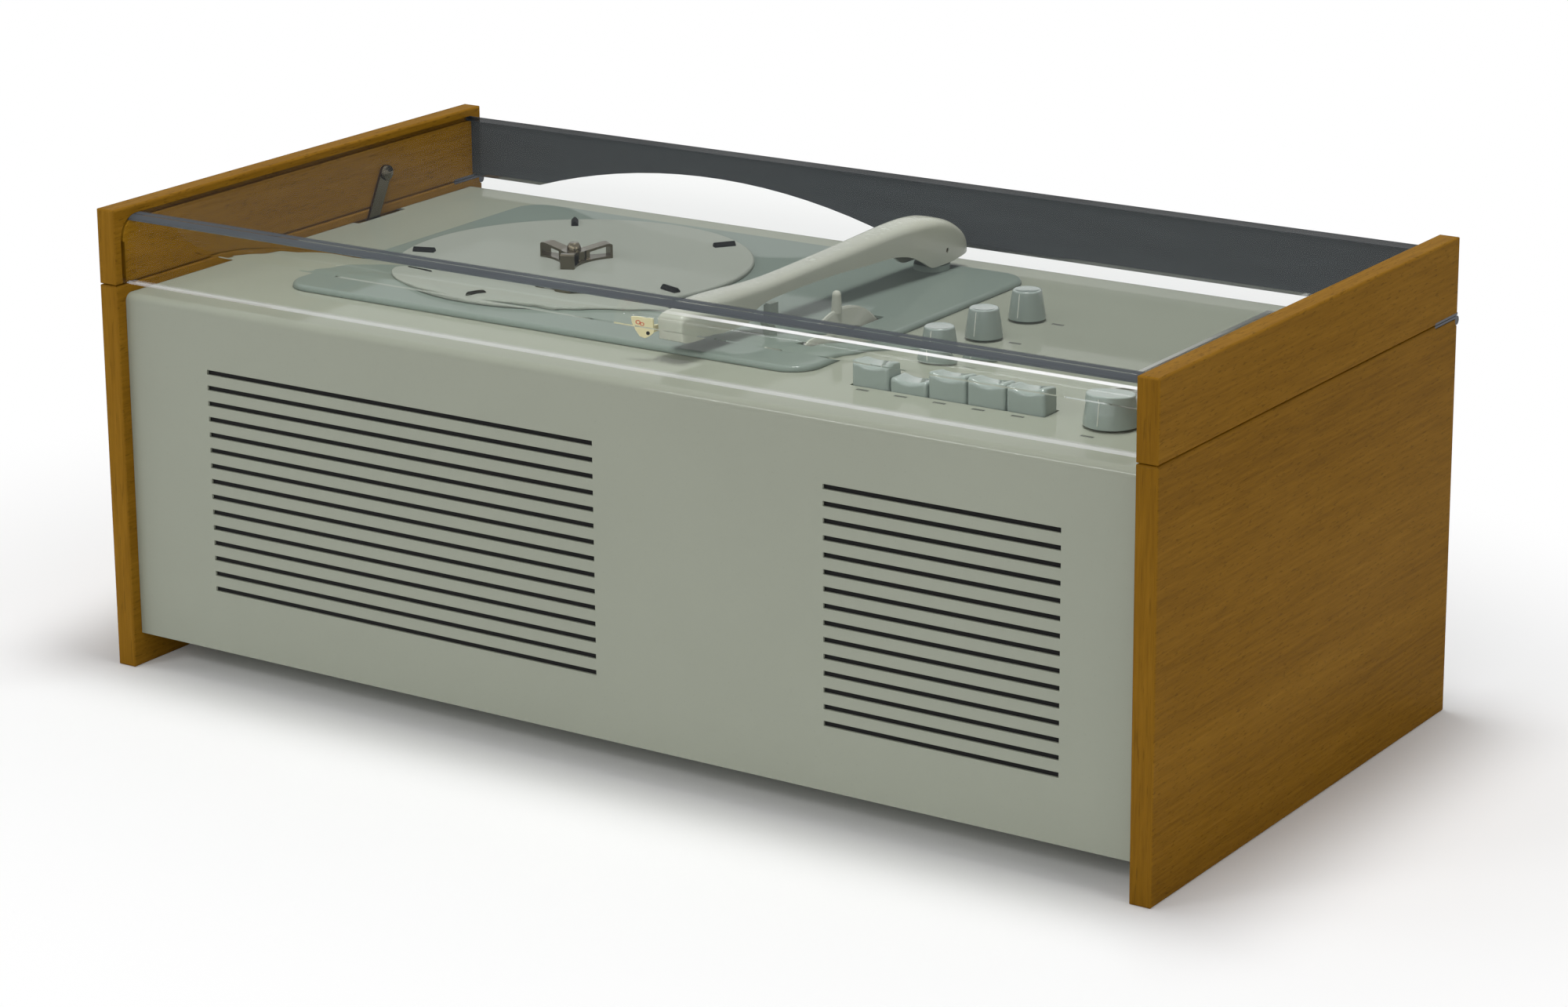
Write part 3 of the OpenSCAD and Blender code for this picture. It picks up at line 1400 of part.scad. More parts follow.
module speaker_frame() {
    window_r = speaker_r - 24;
    back = speaker_d - 28;
    color([0.35, 0.36, 0.36]) difference() {
        union() {
            speaker_turn() difference() {
                polygon([[0, 0], [speaker_r, 0], [speaker_r, 2], [speaker_r - 6, 3],
                    [magnet_r + 4, back - 2], [magnet_r + 4, back], [0, back]]);
                polygon([[-1, -1], [speaker_r - 7, -1], [speaker_r - 7, 1.8], [speaker_r - 8.4, 2.4],
                    [magnet_r + 2.5, back - 3.5], [coil_r + 0.7, back - 3.5], [coil_r + 0.7, back + 1],
                    [-1, back + 1]]);
            }
            speaker_turn() difference() {
                translate([0, back]) square([magnet_r, speaker_d - back]);
                translate([coil_r - 1.2, back - 1]) square([1.9, 15]);
            }
        }
        for (a = [0:60:300])
            translate([speaker_x, speaker_y + 16, grille_z]) rotate([0, a, 0])
                translate([window_r * 0.86, 0, 0]) rotate([-90, 0, 0]) cylinder(r = 9, h = back);
    }
}

coil_r = 14.3;

// Paper cone with its dust cap and coil former, glued to the basket by its rim
module speaker_cone() {
    rim_r = speaker_r - 7 - seat_gap;
    neck = speaker_d - 37;
    color(dark_c) speaker_turn() polygon([[rim_r, 0.6], [rim_r - 3, 0.6], [coil_r, neck - 1.6],
        [coil_r * 0.64, neck - 3.8], [0, neck - 5], [0, neck - 4.2], [coil_r * 0.62, neck - 3],
        [coil_r - 0.7, neck - 0.8], [coil_r - 0.7, neck + 17], [coil_r, neck + 17], [coil_r, neck],
        [rim_r - 2.6, 1.6], [rim_r, 1.6]]);
}

baffle_x1 = left_grille_x + left_grille_w + 14;

// Board behind the left grille that carries the loudspeaker
module speaker_baffle() {
    color(dark_c) difference() {
        block([left_grille_x - 10, baffle_y, base_z + seat_gap],
            [baffle_x1, baffle_y + baffle_t, deck_z - sheet_bend_r - 1]);
        rod_y(speaker_x, baffle_y - 1, baffle_y + baffle_t + 1, grille_z, speaker_r - 6);
    }
}

module grille_cloth() {
    z0 = slot_low_z - 6;
    z1 = slot_high_z + 6;
    color(dark_c) {
        block([left_grille_x - 6, cloth_y, z0], [left_grille_x + left_grille_w + 6, cloth_y + cloth_t, z1]);
        block([right_grille_x - 6, cloth_y, z0],
            [right_grille_x + right_grille_w + 6, cloth_y + cloth_t, z1]);
    }
}

module dial_bezel() {
    color(steel_c) difference() {
        block([dial_x0 - bezel_w, dial_y0 - bezel_w, deck_z],
            [dial_x1 + bezel_w, dial_y1 + bezel_w, deck_z + bezel_h]);
        block([dial_x0, dial_y0, deck_z - 1], [dial_x1, dial_y1, deck_z + bezel_h + 1]);
    }
}

module dial_strip() {
    color([0.90, 0.90, 0.86, 0.5])
        block([dial_x0 - strip_lap, dial_y0 - strip_lap, deck_under - dial_t],
            [dial_x1 + strip_lap, dial_y1 + strip_lap, deck_under]);
}

// White tray behind the dial, with the rail that the pointer slides on
module dial_tray() {
    x0 = dial_x0 - strip_lap - seat_gap - tray_wall;
    x1 = dial_x1 + strip_lap + seat_gap + tray_wall;
    y0 = dial_y0 - strip_lap - seat_gap - tray_wall;
    y1 = dial_y1 + strip_lap + seat_gap + tray_wall;
    color([0.85, 0.85, 0.80]) {
        difference() {
            block([x0, y0, tray_z], [x1, y1, deck_under]);
            block([x0 + tray_wall, y0 + tray_wall, tray_z + tray_wall], [x1 - tray_wall, y1 - tray_wall, deck_z]);
        }
        block([dial_x0 + 6, dial_y0, tray_z + tray_wall / 2], [dial_x0 + 8, dial_y1, pointer_z - 1.5]);
    }
}

// Pointer with a saddle over the rail
module dial_pointer() {
    gap = free_gap;
    color([0.75, 0.15, 0.10]) translate([0, drum_y, 0]) difference() {
        union() {
            block([dial_x0 + 2, -0.6, pointer_z - 0.6], [dial_x1 - 2, 0.6, pointer_z + 0.6]);
            block([dial_x0 + 4, -4, pointer_z - 5.4], [dial_x0 + 10, 4, pointer_z]);
        }
        block([dial_x0 + 6 - gap, -6, pointer_z - 7], [dial_x0 + 8 + gap, 6, pointer_z - 1.5 + gap]);
    }
}

// Rear socket strip on the chassis, with bores for plugs
module socket_panel() {
    y0 = chassis_y1;
    y1 = cover_y0 - seat_gap;
    color([0.40, 0.25, 0.15]) difference() {
        block([socket_x - socket_w / 2, y0, socket_z - socket_h / 2],
            [socket_x + socket_w / 2, y1, socket_z + socket_h / 2]);
        for (i = [0:socket_count - 1])
            rod_y(socket_x + (i - (socket_count - 1) / 2) * socket_pitch, y0 - 1, y1 + 1, socket_z, socket_r);
    }
}

side_left_lower();
side_right_lower();
side_left_upper();
side_right_upper();
case_shell();
base_plate();
rear_cover();
cover_screws();
lid_sheet();
hinge_lower();
hinge_upper();
stay_arm();
stay_screw();
turntable_plate();
plate_springs();
platter();
platter_pads();
centre_adapter();
spindle_shaft();
platter_bearing();
idler_wheel();
motor();
motor_pulley();
tonearm_shell();
cartridge();
stylus_lever();
pivot_base();
pivot_yoke();
lift_pin();
arm_rest();
selector_wheel();
selector_bracket();
knob_volume();
knob_bass();
knob_treble();
knob_tuning();
control_pots();
key_1();
key_2();
key_3();
key_4();
key_5();
key_bank();
chassis();
valves();
mains_transformer();
output_transformer();
if_cans();
smoothing_can();
gang_frame();
gang_rotor();
speaker_frame();
speaker_cone();
speaker_baffle();
grille_cloth();
dial_bezel();
dial_strip();
dial_pointer();
dial_tray();
socket_panel();
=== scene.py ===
import bpy
import bmesh
import json
import math
from mathutils import Matrix, Vector


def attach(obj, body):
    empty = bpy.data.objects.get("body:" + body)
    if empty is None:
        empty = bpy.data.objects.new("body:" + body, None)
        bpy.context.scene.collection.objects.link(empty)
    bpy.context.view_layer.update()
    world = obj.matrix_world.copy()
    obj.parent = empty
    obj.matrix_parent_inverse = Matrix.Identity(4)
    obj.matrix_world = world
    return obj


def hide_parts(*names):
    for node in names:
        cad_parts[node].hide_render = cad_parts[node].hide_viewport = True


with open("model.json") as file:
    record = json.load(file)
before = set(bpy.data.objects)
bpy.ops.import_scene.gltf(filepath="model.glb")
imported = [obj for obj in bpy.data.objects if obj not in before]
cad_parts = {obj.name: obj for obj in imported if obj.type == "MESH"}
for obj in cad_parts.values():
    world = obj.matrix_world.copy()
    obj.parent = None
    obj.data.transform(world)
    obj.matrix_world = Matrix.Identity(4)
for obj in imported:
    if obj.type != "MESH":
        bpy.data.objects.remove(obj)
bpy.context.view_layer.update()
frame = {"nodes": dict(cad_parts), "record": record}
nodes = frame["nodes"]
mm = 0.001
print("frame loaded:", len(nodes), "nodes")

# The camera stands where the photograph was taken from
viewpoint = {
    "azimuth": 34.081,
    "elevation": 15.105,
    "roll": -0.544,
    "place": (1.068846, -1.595535, 0.687200),
    "lens": 96.043,
    "shiftX": 0.0239,
    "shiftY": -0.0971,
    "sensor": 36,
    "nearest": 0.05,
    "farthest": 50,
}


def setCamera(view):
    azimuth, elevation, roll = (math.radians(view[key]) for key in ("azimuth", "elevation", "roll"))
    back = Vector((math.sin(azimuth) * math.cos(elevation),
                   -math.cos(azimuth) * math.cos(elevation), math.sin(elevation)))
    right = (-back).cross(Vector((0, 0, 1))).normalized()
    up = right.cross(-back)
    across = right * math.cos(roll) + up * math.sin(roll)
    upward = up * math.cos(roll) - right * math.sin(roll)
    lens = bpy.data.cameras.new("camera")
    lens.lens = view["lens"]
    lens.sensor_width = view["sensor"]
    lens.shift_x = view["shiftX"]
    lens.shift_y = view["shiftY"]
    lens.clip_start = view["nearest"]
    lens.clip_end = view["farthest"]
    camera = bpy.data.objects.new("camera", lens)
    turn = Matrix((across, upward, back)).transposed().to_4x4()
    camera.matrix_world = Matrix.Translation(view["place"]) @ turn
    bpy.context.scene.collection.objects.link(camera)
    bpy.context.scene.camera = camera


setCamera(viewpoint)
print("camera set")


# A socket that takes part in Python sums
class Wire:
    def __init__(self, bench, socket):
        self.bench = bench
        self.socket = socket

    def sum(self, operation, *others):
        values = dict(enumerate((self,) + others))
        return self.bench.node("ShaderNodeMath", {"operation": operation}, values)

    def turned(self, operation, other):
        return self.bench.node("ShaderNodeMath", {"operation": operation}, {0: other, 1: self})

    def __add__(self, other):
        return self.sum("ADD", other)

    def __radd__(self, other):
        return self.turned("ADD", other)

    def __sub__(self, other):
        return self.sum("SUBTRACT", other)

    def __rsub__(self, other):
        return self.turned("SUBTRACT", other)

    def __mul__(self, other):
        return self.sum("MULTIPLY", other)

    def __rmul__(self, other):
        return self.turned("MULTIPLY", other)

    def __pow__(self, other):
        return self.sum("POWER", other)

    def __abs__(self):
        return self.sum("ABSOLUTE")

    def highest(self, other):
        return self.sum("MAXIMUM", other)

    def wave(self):
        return self.sum("SINE")

    # 0 below low, 1 above high, smooth between
    def rise(self, low, high):
        return self.bench.node("ShaderNodeMapRange", {"interpolation_type": "SMOOTHSTEP"},
                               {0: self, 1: low, 2: high})


# A node tree, for a finish or for a shape, and the one way nodes are added to it
class Bench:
    def __init__(self, tree):
        self.tree = tree

    def node(self, kind, settings=None, sockets=None, out=0):
        made = self.tree.nodes.new(kind)
        for key, value in (settings or {}).items():
            if key == "stops":
                ramp = made.color_ramp
                while len(ramp.elements) < len(value):
                    ramp.elements.new(0.5)
                for stop, (position, colour) in zip(ramp.elements, value):
                    stop.position = position
                    stop.color = colour
            else:
                setattr(made, key, value)
        for key, value in (sockets or {}).items():
            if isinstance(value, Wire):
                self.tree.links.new(value.socket, made.inputs[key])
            else:
                made.inputs[key].default_value = value
        return Wire(self, made.outputs[out])

    def place(self):
        return self.node("ShaderNodeTexCoord", out="Object")

    def axes(self, vector):
        parts = self.node("ShaderNodeSeparateXYZ", {}, {0: vector}).socket.node
        return [Wire(self, parts.outputs[i]) for i in range(3)]

    def stretched(self, vector, factors, turn=(0, 0, 0)):
        return self.node("ShaderNodeMapping", {}, {"Vector": vector, "Scale": factors,
                                                   "Rotation": turn})

    def noise(self, vector, scale, detail, roughness=0.5, distortion=0):
        return self.node("ShaderNodeTexNoise", {}, {
            "Vector": vector, "Scale": scale, "Detail": detail, "Roughness": roughness,
            "Distortion": distortion})

    def blend(self, factor, first, second):
        return self.node("ShaderNodeMix", {"data_type": "RGBA"}, {0: factor, 6: first, 7: second},
                         out=2)

    def bump(self, height, depth, strength):
        return self.node("ShaderNodeBump", {}, {"Height": height, "Distance": depth,
                                                "Strength": strength})

    def layered(self, factor, first, second):
        return self.node("ShaderNodeMixShader", {}, {0: factor, 1: first, 2: second})

    # 1 on the rays of the named kinds, 0 on all others
    def rays(self, *kinds):
        path = self.node("ShaderNodeLightPath").socket.node
        first, *others = [Wire(self, path.outputs[f"Is {kind} Ray"]) for kind in kinds]
        for other in others:
            first = first.highest(other)
        return first

    def shade(self, **sockets):
        return self.node("ShaderNodeBsdfPrincipled", {}, {key.replace("_", " "): value
                                                          for key, value in sockets.items()})


# A colour given as 0 to 255 on the screen
def tone(red, green, blue):
    return tuple(((c / 255 + 0.055) / 1.055) ** 2.4 for c in (red, green, blue)) + (1,)


# The same colour, darker or lighter
def scaled(colour, share):
    return tuple(min(1, c * share) for c in colour[:3]) + (1,)


finishes = {}


def finish(name, make, **values):
    material = bpy.data.materials.new(name)
    material.use_nodes = True
    material.node_tree.nodes.clear()
    bench = Bench(material.node_tree)
    surface = make(bench, **values)
    output = material.node_tree.nodes.new("ShaderNodeOutputMaterial")
    material.node_tree.links.new(surface.socket, output.inputs["Surface"])
    finishes[name] = material


# Lacquered veneer: the grain runs along the board's depth, and upright on its narrow ends.
# Here and below, a pattern is its scale, its detail and its roughness
veneer = {
    "grainStretch": 0.045,
    "grainLean": 0.045,
    "endFrom": 0.6, "endTo": 0.9,
    "bands": (26, 4, 0.6), "bandWarp": 0.5, "bandShare": 0.34,
    "fibres": (620, 4, 0.7), "fibreShare": 0.50,
    "clouds": (7, 2, 0.5), "cloudStretch": (1, 0.5, 1), "cloudShare": 0.16,
    "pores": (1100, 2, 0.5), "poreStretch": (1, 4, 1), "poreFrom": 0.60, "poreTo": 0.68,
    "poreTone": 0.42, "poreShade": 0.5, "poreDepth": 0.8, "fibreHeight": 0.35,
    "darkAt": 0.28, "middleAt": 0.5, "lightAt": 0.74,
    "roughness": 0.42, "fibreRoughness": 0.14,
    "lacquer": 0.05, "cloudLacquer": 0.08, "lacquerRoughness": 0.2,
    "depth": 0.00012, "bump": 0.45,
}


def woodFinish(bench, light, middle, dark):
    place = bench.place()
    facing = bench.node("ShaderNodeNewGeometry", out="Normal")
    endFace = abs(bench.axes(facing)[1]).rise(veneer["endFrom"], veneer["endTo"])
    along = bench.stretched(place, (1, veneer["grainStretch"], 1), (veneer["grainLean"], 0, 0))
    upright = bench.stretched(place, (1, 1, veneer["grainStretch"]))
    lay = bench.node("ShaderNodeMix", {"data_type": "VECTOR"}, {0: endFace, 4: along, 5: upright},
                     out=1)
    bands = bench.noise(lay, *veneer["bands"], veneer["bandWarp"])
    fibres = bench.noise(lay, *veneer["fibres"])
    pores = bench.noise(bench.stretched(lay, veneer["poreStretch"]), *veneer["pores"])
    pores = pores.rise(veneer["poreFrom"], veneer["poreTo"])
    clouds = bench.noise(bench.stretched(place, veneer["cloudStretch"]), *veneer["clouds"])
    shares = bands * veneer["bandShare"] + fibres * veneer["fibreShare"]
    shares = shares + clouds * veneer["cloudShare"]
    stops = [(veneer["darkAt"], dark), (veneer["middleAt"], middle), (veneer["lightAt"], light)]
    ground = bench.node("ShaderNodeValToRGB", {"stops": stops}, {0: shares})
    colour = bench.blend(pores * veneer["poreShade"], ground, scaled(middle, veneer["poreTone"]))
    height = fibres * veneer["fibreHeight"] - pores * veneer["poreDepth"]
    return bench.shade(Base_Color=colour,
                       Roughness=veneer["roughness"] + fibres * veneer["fibreRoughness"],
                       Coat_Weight=veneer["lacquer"] + clouds * veneer["cloudLacquer"],
                       Coat_Roughness=veneer["lacquerRoughness"], Specular_IOR_Level=0,
                       Normal=bench.bump(height, veneer["depth"], veneer["bump"]))


# Sprayed paint on sheet metal: slight orange peel, faint dust and rubbed patches
spray = {
    "clouds": (9, 3, 0.55), "cloudLow": 0.945, "cloudHigh": 1.04,
    "specks": (900, 2, 0.5), "speckFrom": 0.68, "speckTo": 0.74, "speckTone": 0.55, "speckShade": 0.10,
    "rubbed": (26, 4, 0.6), "rubStretch": (1, 0.6, 1.4), "rubFrom": 0.45, "rubTo": 0.75,
    "rubRoughness": 0.10, "coatRoughness": 0.05,
    "peel": (700, 2, 0.5), "peelDepth": 0.00001, "bump": 0.5,
}


def paintFinish(bench, colour, gloss=0.34, coat=0.36):
    place = bench.place()
    clouds = bench.noise(place, *spray["clouds"])
    specks = bench.noise(place, *spray["specks"]).rise(spray["speckFrom"], spray["speckTo"])
    rubbed = bench.noise(bench.stretched(place, spray["rubStretch"]), *spray["rubbed"])
    rubbed = rubbed.rise(spray["rubFrom"], spray["rubTo"])
    ground = bench.blend(clouds, scaled(colour, spray["cloudLow"]), scaled(colour, spray["cloudHigh"]))
    ground = bench.blend(specks * spray["speckShade"], ground, scaled(colour, spray["speckTone"]))
    peel = bench.noise(place, *spray["peel"])
    return bench.shade(Base_Color=ground, Roughness=gloss + rubbed * spray["rubRoughness"],
                       Coat_Weight=coat, Coat_Roughness=spray["coatRoughness"], Specular_IOR_Level=0,
                       Normal=bench.bump(peel, spray["peelDepth"], spray["bump"]))


# Moulded plastic: soft clouding, faint hairlines and a slightly uneven skin
moulding = {
    "clouds": (60, 3, 0.5), "cloudLow": 0.95, "cloudHigh": 1.05, "cloudRoughness": 0.05,
    "hairs": (1400, 2, 0.5), "hairStretch": (0.2, 1, 1), "hairTurn": (0.3, 0.5, 0.4),
    "hairFrom": 0.62, "hairTo": 0.70, "hairRoughness": 0.16, "hairHeight": 0.3,
    "aged": (18, 2, 0.5), "agedFrom": 0.35, "agedTo": 0.8, "agedTone": (1.05, 0.96, 0.80),
    "skin": (240, 2, 0.5), "skinDepth": 0.00003, "bump": 0.35,
    "coatRoughness": 0.08, "specular": 0.15,
}


def plasticFinish(bench, colour, gloss=0.28, coat=0, warmth=0):
    place = bench.place()
    clouds = bench.noise(place, *moulding["clouds"])
    hairs = bench.stretched(place, moulding["hairStretch"], moulding["hairTurn"])
    hairs = bench.noise(hairs, *moulding["hairs"]).rise(moulding["hairFrom"], moulding["hairTo"])
    aged = bench.noise(place, *moulding["aged"]).rise(moulding["agedFrom"], moulding["agedTo"])
    ground = bench.blend(clouds, scaled(colour, moulding["cloudLow"]),
                         scaled(colour, moulding["cloudHigh"]))
    warm = tuple(c * share for c, share in zip(colour, moulding["agedTone"])) + (1,)
    ground = bench.blend(aged * warmth, ground, warm)
    skin = bench.noise(place, *moulding["skin"]) + hairs * moulding["hairHeight"]
    roughness = gloss + hairs * moulding["hairRoughness"] + clouds * moulding["cloudRoughness"]
    return bench.shade(Base_Color=ground, Roughness=roughness, Coat_Weight=coat,
                       Coat_Roughness=moulding["coatRoughness"],
                       Specular_IOR_Level=moulding["specular"],
                       Normal=bench.bump(skin, moulding["skinDepth"], moulding["bump"]))


# Clear acrylic sheet: its front bend bends the view. Its rear wall and the bend's crown are painted
# shade, a dark body laid over the clear sheet.
# The bend turns about bendY and bendZ, and its angles are in radians, from the front wall up
acrylic = {
    "bendY": -0.128, "bendZ": 0.2156, "rearY": 0.1375, "lowZ": 0.1951,
    "rearSoft": 0.004,
    "bendFrom": (-0.02, 0.03), "bendTo": (1.03, 1.05), "bendHeld": 0.96,
    # The bend's crown and a short run of the top: a painted dark stripe, painted shade
    "crownEnd": (0.0012, 0.0042), "crownPaintedShade": 0.95,
    # A painted highlight: a lighter line inside the crown's painted stripe
    "glintFrom": (1.37, 1.39), "glintTo": (1.41, 1.44), "glintShade": 0.45,
    # The top sheet: a faint tint, with painted shade that is strongest at the front and fades towards the
    # back
    "lidFrom": 0.001, "lidLow": 0.007, "lidHigh": 0.009,
    "lidTintAndPaintedShade": 0.075, "lidFade": 0.06, "lidFadeTo": 0.09,
    "skinRadius": (0.0110, 0.0114),
    # A painted highlight: a thin band of mirror gloss along the bend, on its right part only
    "paintedHighlightFrom": (0.67, 0.70), "paintedHighlightTo": (0.79, 0.82), "paintedHighlightAlong": (0.02, 0.09), "paintedHighlightGloss": 0.9,
    # The lower edge: a painted dark line with a painted sheen
    "edgeHeight": (0.0012, 0.0020), "edgePaintedShade": 0.12, "edgePaintedSheen": 0.25,
    "dust": (300, 3, 0.6), "dustRise": (0.55, 0.8), "dustHeld": 0.008, "dustGloss": 0.003,
    "dustRoughness": 0.05,
    "streaks": (70, 3, 0.6), "streakStretch": (0.12, 1, 1), "streakRise": (0.4, 0.9),
    "streakTone": 1.5, "streakShade": 0.5, "rearStreaks": 0.05, "crownStreaks": 0.06,
    "waves": (42, 2, 0.5), "waveStretch": (0.35, 1, 1), "waveDepth": 0.0010,
    # First the rear wall's painted shade, as a share of dark body, then the sheet's faint tint and gloss
    "rearPaintedShade": 0.92, "leastHeld": 0.004, "leastGloss": 0.004,
    "bodyRoughness": 0.25, "glossRoughness": 0.02, "refraction": 1.49, "lampsPass": 0.9,
    "clearTone": (0.99, 0.995, 0.99, 1), "bendTone": (0.98, 0.99, 0.98, 1),
}


def clearFinish(bench, colour, sizes):
    def within(value, low, high):
        return value.rise(*sizes[low]) * (1 - value.rise(*sizes[high]))

    place = bench.place()
    x, y, z = bench.axes(place)
    bendY, bendZ, rearY = sizes["bendY"], sizes["bendZ"], sizes["rearY"]
    angle = bench.node("ShaderNodeMath", {"operation": "ARCTAN2"}, {0: z - bendZ, 1: bendY - y})
    dust = bench.noise(place, *sizes["dust"]).rise(*sizes["dustRise"])
    streaks = bench.noise(bench.stretched(place, sizes["streakStretch"]), *sizes["streaks"])
    streaks = streaks.rise(*sizes["streakRise"])
    waves = bench.noise(bench.stretched(place, sizes["waveStretch"]), *sizes["waves"])

    # The rear wall, where its painted shade lies
    rear = y.rise(rearY - sizes["rearSoft"], rearY)
    bend = within(angle, "bendFrom", "bendTo")
    # The crown: a painted dark stripe from the bend's upper end onto the top, painted shade
    crownLow, crownHigh = (bendY + reach for reach in sizes["crownEnd"])
    crown = angle.rise(*sizes["bendTo"]) * (1 - y.rise(crownLow, crownHigh))
    # A painted highlight: a lighter line inside the crown's painted stripe
    paintedGlint = within(angle, "glintFrom", "glintTo")
    # The top sheet, where its tint and its painted shade lie
    lid = y.rise(bendY, bendY + sizes["lidFrom"])
    lid = lid * z.rise(bendZ + sizes["lidLow"], bendZ + sizes["lidHigh"])
    inner, outer = (radius ** 2 for radius in sizes["skinRadius"])
    outside = ((z - bendZ) ** 2 + (y - bendY) ** 2).rise(inner, outer)
    # A painted highlight: a thin band of mirror gloss on the bend's outer skin, fading in towards the
    # right
    line = within(angle, "paintedHighlightFrom", "paintedHighlightTo") * outside * x.rise(*sizes["paintedHighlightAlong"])
    # The lower edge of the front wall: a painted dark line with a painted sheen
    edge = 1 - (z - sizes["lowZ"]).rise(*sizes["edgeHeight"])

    # Painted shade on the rear wall, the crown, the lower edge and the top sheet, over a faint tint and
    # real dust
    rearPaintedShade = rear * (sizes["rearPaintedShade"] + streaks * sizes["rearStreaks"])
    crownPaintedShade = sizes["crownPaintedShade"] - paintedGlint * sizes["glintShade"] - streaks * sizes["crownStreaks"]
    lidTintAndPaintedShade = lid * (sizes["lidTintAndPaintedShade"] - y.rise(0, sizes["lidFadeTo"]) * sizes["lidFade"])
    held = rearPaintedShade.highest(crown * crownPaintedShade).highest(edge * sizes["edgePaintedShade"])
    held = held.highest(sizes["leastHeld"] + dust * sizes["dustHeld"] + lidTintAndPaintedShade)
    ground = bench.blend(streaks * sizes["streakShade"], colour, scaled(colour, sizes["streakTone"]))
    body = bench.shade(Base_Color=ground, Roughness=sizes["bodyRoughness"], Specular_IOR_Level=0)
    clear = bench.node("ShaderNodeBsdfTransparent", {}, {"Color": sizes["clearTone"]})
    glass = bench.node("ShaderNodeBsdfRefraction", {}, {
        "Color": sizes["bendTone"], "Roughness": 0, "IOR": sizes["refraction"],
        "Normal": bench.bump(waves, sizes["waveDepth"], 1)})
    shine = bench.shade(Base_Color=(1, 1, 1, 1), Metallic=1,
                        Roughness=sizes["glossRoughness"] + dust * sizes["dustRoughness"])
    # Mirror gloss: faint everywhere and more on dust, with the painted highlight line and the lower
    # edge's painted sheen
    gloss = (sizes["leastGloss"] + dust * sizes["dustGloss"]).highest(line * sizes["paintedHighlightGloss"])
    gloss = gloss.highest(edge * sizes["edgePaintedSheen"])

    sheet = bench.layered(held, clear, body)
    sheet = bench.layered(bend * sizes["bendHeld"], sheet, glass)
    sheet = bench.layered(gloss, sheet, shine)
    # The lamps reach what stands behind the sheet
    lit = bench.rays("Shadow") * angle.rise(*sizes["bendFrom"]) * (1 - rear)
    return bench.layered(lit * sizes["lampsPass"], sheet, clear)


# Metal: fine brushed lines and slight stains
brushing = {
    "lines": (260, 3, 0.6), "lineRoughness": 0.12,
    "stains": (45, 3, 0.6), "stainFrom": 0.4, "stainTo": 0.8, "stainTone": 0.82, "stainShade": 0.6,
    "stainRoughness": 0.10, "depth": 0.00002, "bump": 0.3,
}


def metalFinish(bench, colour, gloss=0.22, brush=(1, 1, 30)):
    place = bench.place()
    lines = bench.noise(bench.stretched(place, brush), *brushing["lines"])
    stains = bench.noise(place, *brushing["stains"]).rise(brushing["stainFrom"], brushing["stainTo"])
    ground = bench.blend(stains * brushing["stainShade"], colour, scaled(colour, brushing["stainTone"]))
    roughness = gloss + lines * brushing["lineRoughness"] + stains * brushing["stainRoughness"]
    return bench.shade(Base_Color=ground, Metallic=1, Roughness=roughness,
                       Normal=bench.bump(lines, brushing["depth"], brushing["bump"]))


# Rubber: dull and grained, paler where it is worn
rubber = {
    "grain": (900, 2, 0.6), "worn": (70, 3, 0.6), "wornFrom": 0.45, "wornTo": 0.8,
    "wornTone": 2.2, "wornShade": 0.4, "roughness": 0.62, "grainRoughness": 0.2, "specular": 0.08,
    "depth": 0.00005, "bump": 0.5,
}


def rubberFinish(bench, colour):
    place = bench.place()
    grain = bench.noise(place, *rubber["grain"])
    worn = bench.noise(place, *rubber["worn"]).rise(rubber["wornFrom"], rubber["wornTo"])
    ground = bench.blend(worn * rubber["wornShade"], colour, scaled(colour, rubber["wornTone"]))
    return bench.shade(Base_Color=ground,
                       Roughness=rubber["roughness"] + grain * rubber["grainRoughness"],
                       Specular_IOR_Level=rubber["specular"],
                       Normal=bench.bump(grain, rubber["depth"], rubber["bump"]))


# Fibre board and cone paper: short fibres and blotches
board = {
    "fibres": (420, 4, 0.65), "fibreStretch": (0.35, 1, 1), "fibreShade": 0.5,
    "blotches": (25, 3, 0.6), "blotchShade": 0.4, "low": 0.7, "high": 1.35,
    "roughness": 0.7, "fibreRoughness": 0.15, "specular": 0.3, "depth": 0.00012, "bump": 0.5,
}


def boardFinish(bench, colour):
    place = bench.place()
    fibres = bench.noise(bench.stretched(place, board["fibreStretch"]), *board["fibres"])
    blotches = bench.noise(place, *board["blotches"])
    ground = bench.blend(fibres * board["fibreShade"] + blotches * board["blotchShade"],
                         scaled(colour, board["low"]), scaled(colour, board["high"]))
    return bench.shade(Base_Color=ground,
                       Roughness=board["roughness"] + fibres * board["fibreRoughness"],
                       Specular_IOR_Level=board["specular"],
                       Normal=bench.bump(fibres, board["depth"], board["bump"]))


# Woven cloth: warp upright, weft across, and a little fluff
weaving = {
    "pitch": 0.0011, "fluff": (1200, 2, 0.5), "weaveShare": 0.7, "fluffShare": 0.3,
    "low": 0.4, "high": 1.6, "roughness": 0.9, "sheen": 0.2, "specular": 0.2,
    "depth": 0.0001, "bump": 0.6,
}


def clothFinish(bench, colour):
    place = bench.place()
    x, y, z = bench.axes(place)
    turn = 2 * math.pi / weaving["pitch"]
    weave = (x * turn).wave() * (z * turn).wave() * 0.5 + 0.5
    fluff = bench.noise(place, *weaving["fluff"])
    ground = bench.blend(weave * weaving["weaveShare"] + fluff * weaving["fluffShare"],
                         scaled(colour, weaving["low"]), scaled(colour, weaving["high"]))
    return bench.shade(Base_Color=ground, Roughness=weaving["roughness"],
                       Sheen_Weight=weaving["sheen"], Specular_IOR_Level=weaving["specular"],
                       Normal=bench.bump(weave, weaving["depth"], weaving["bump"]))


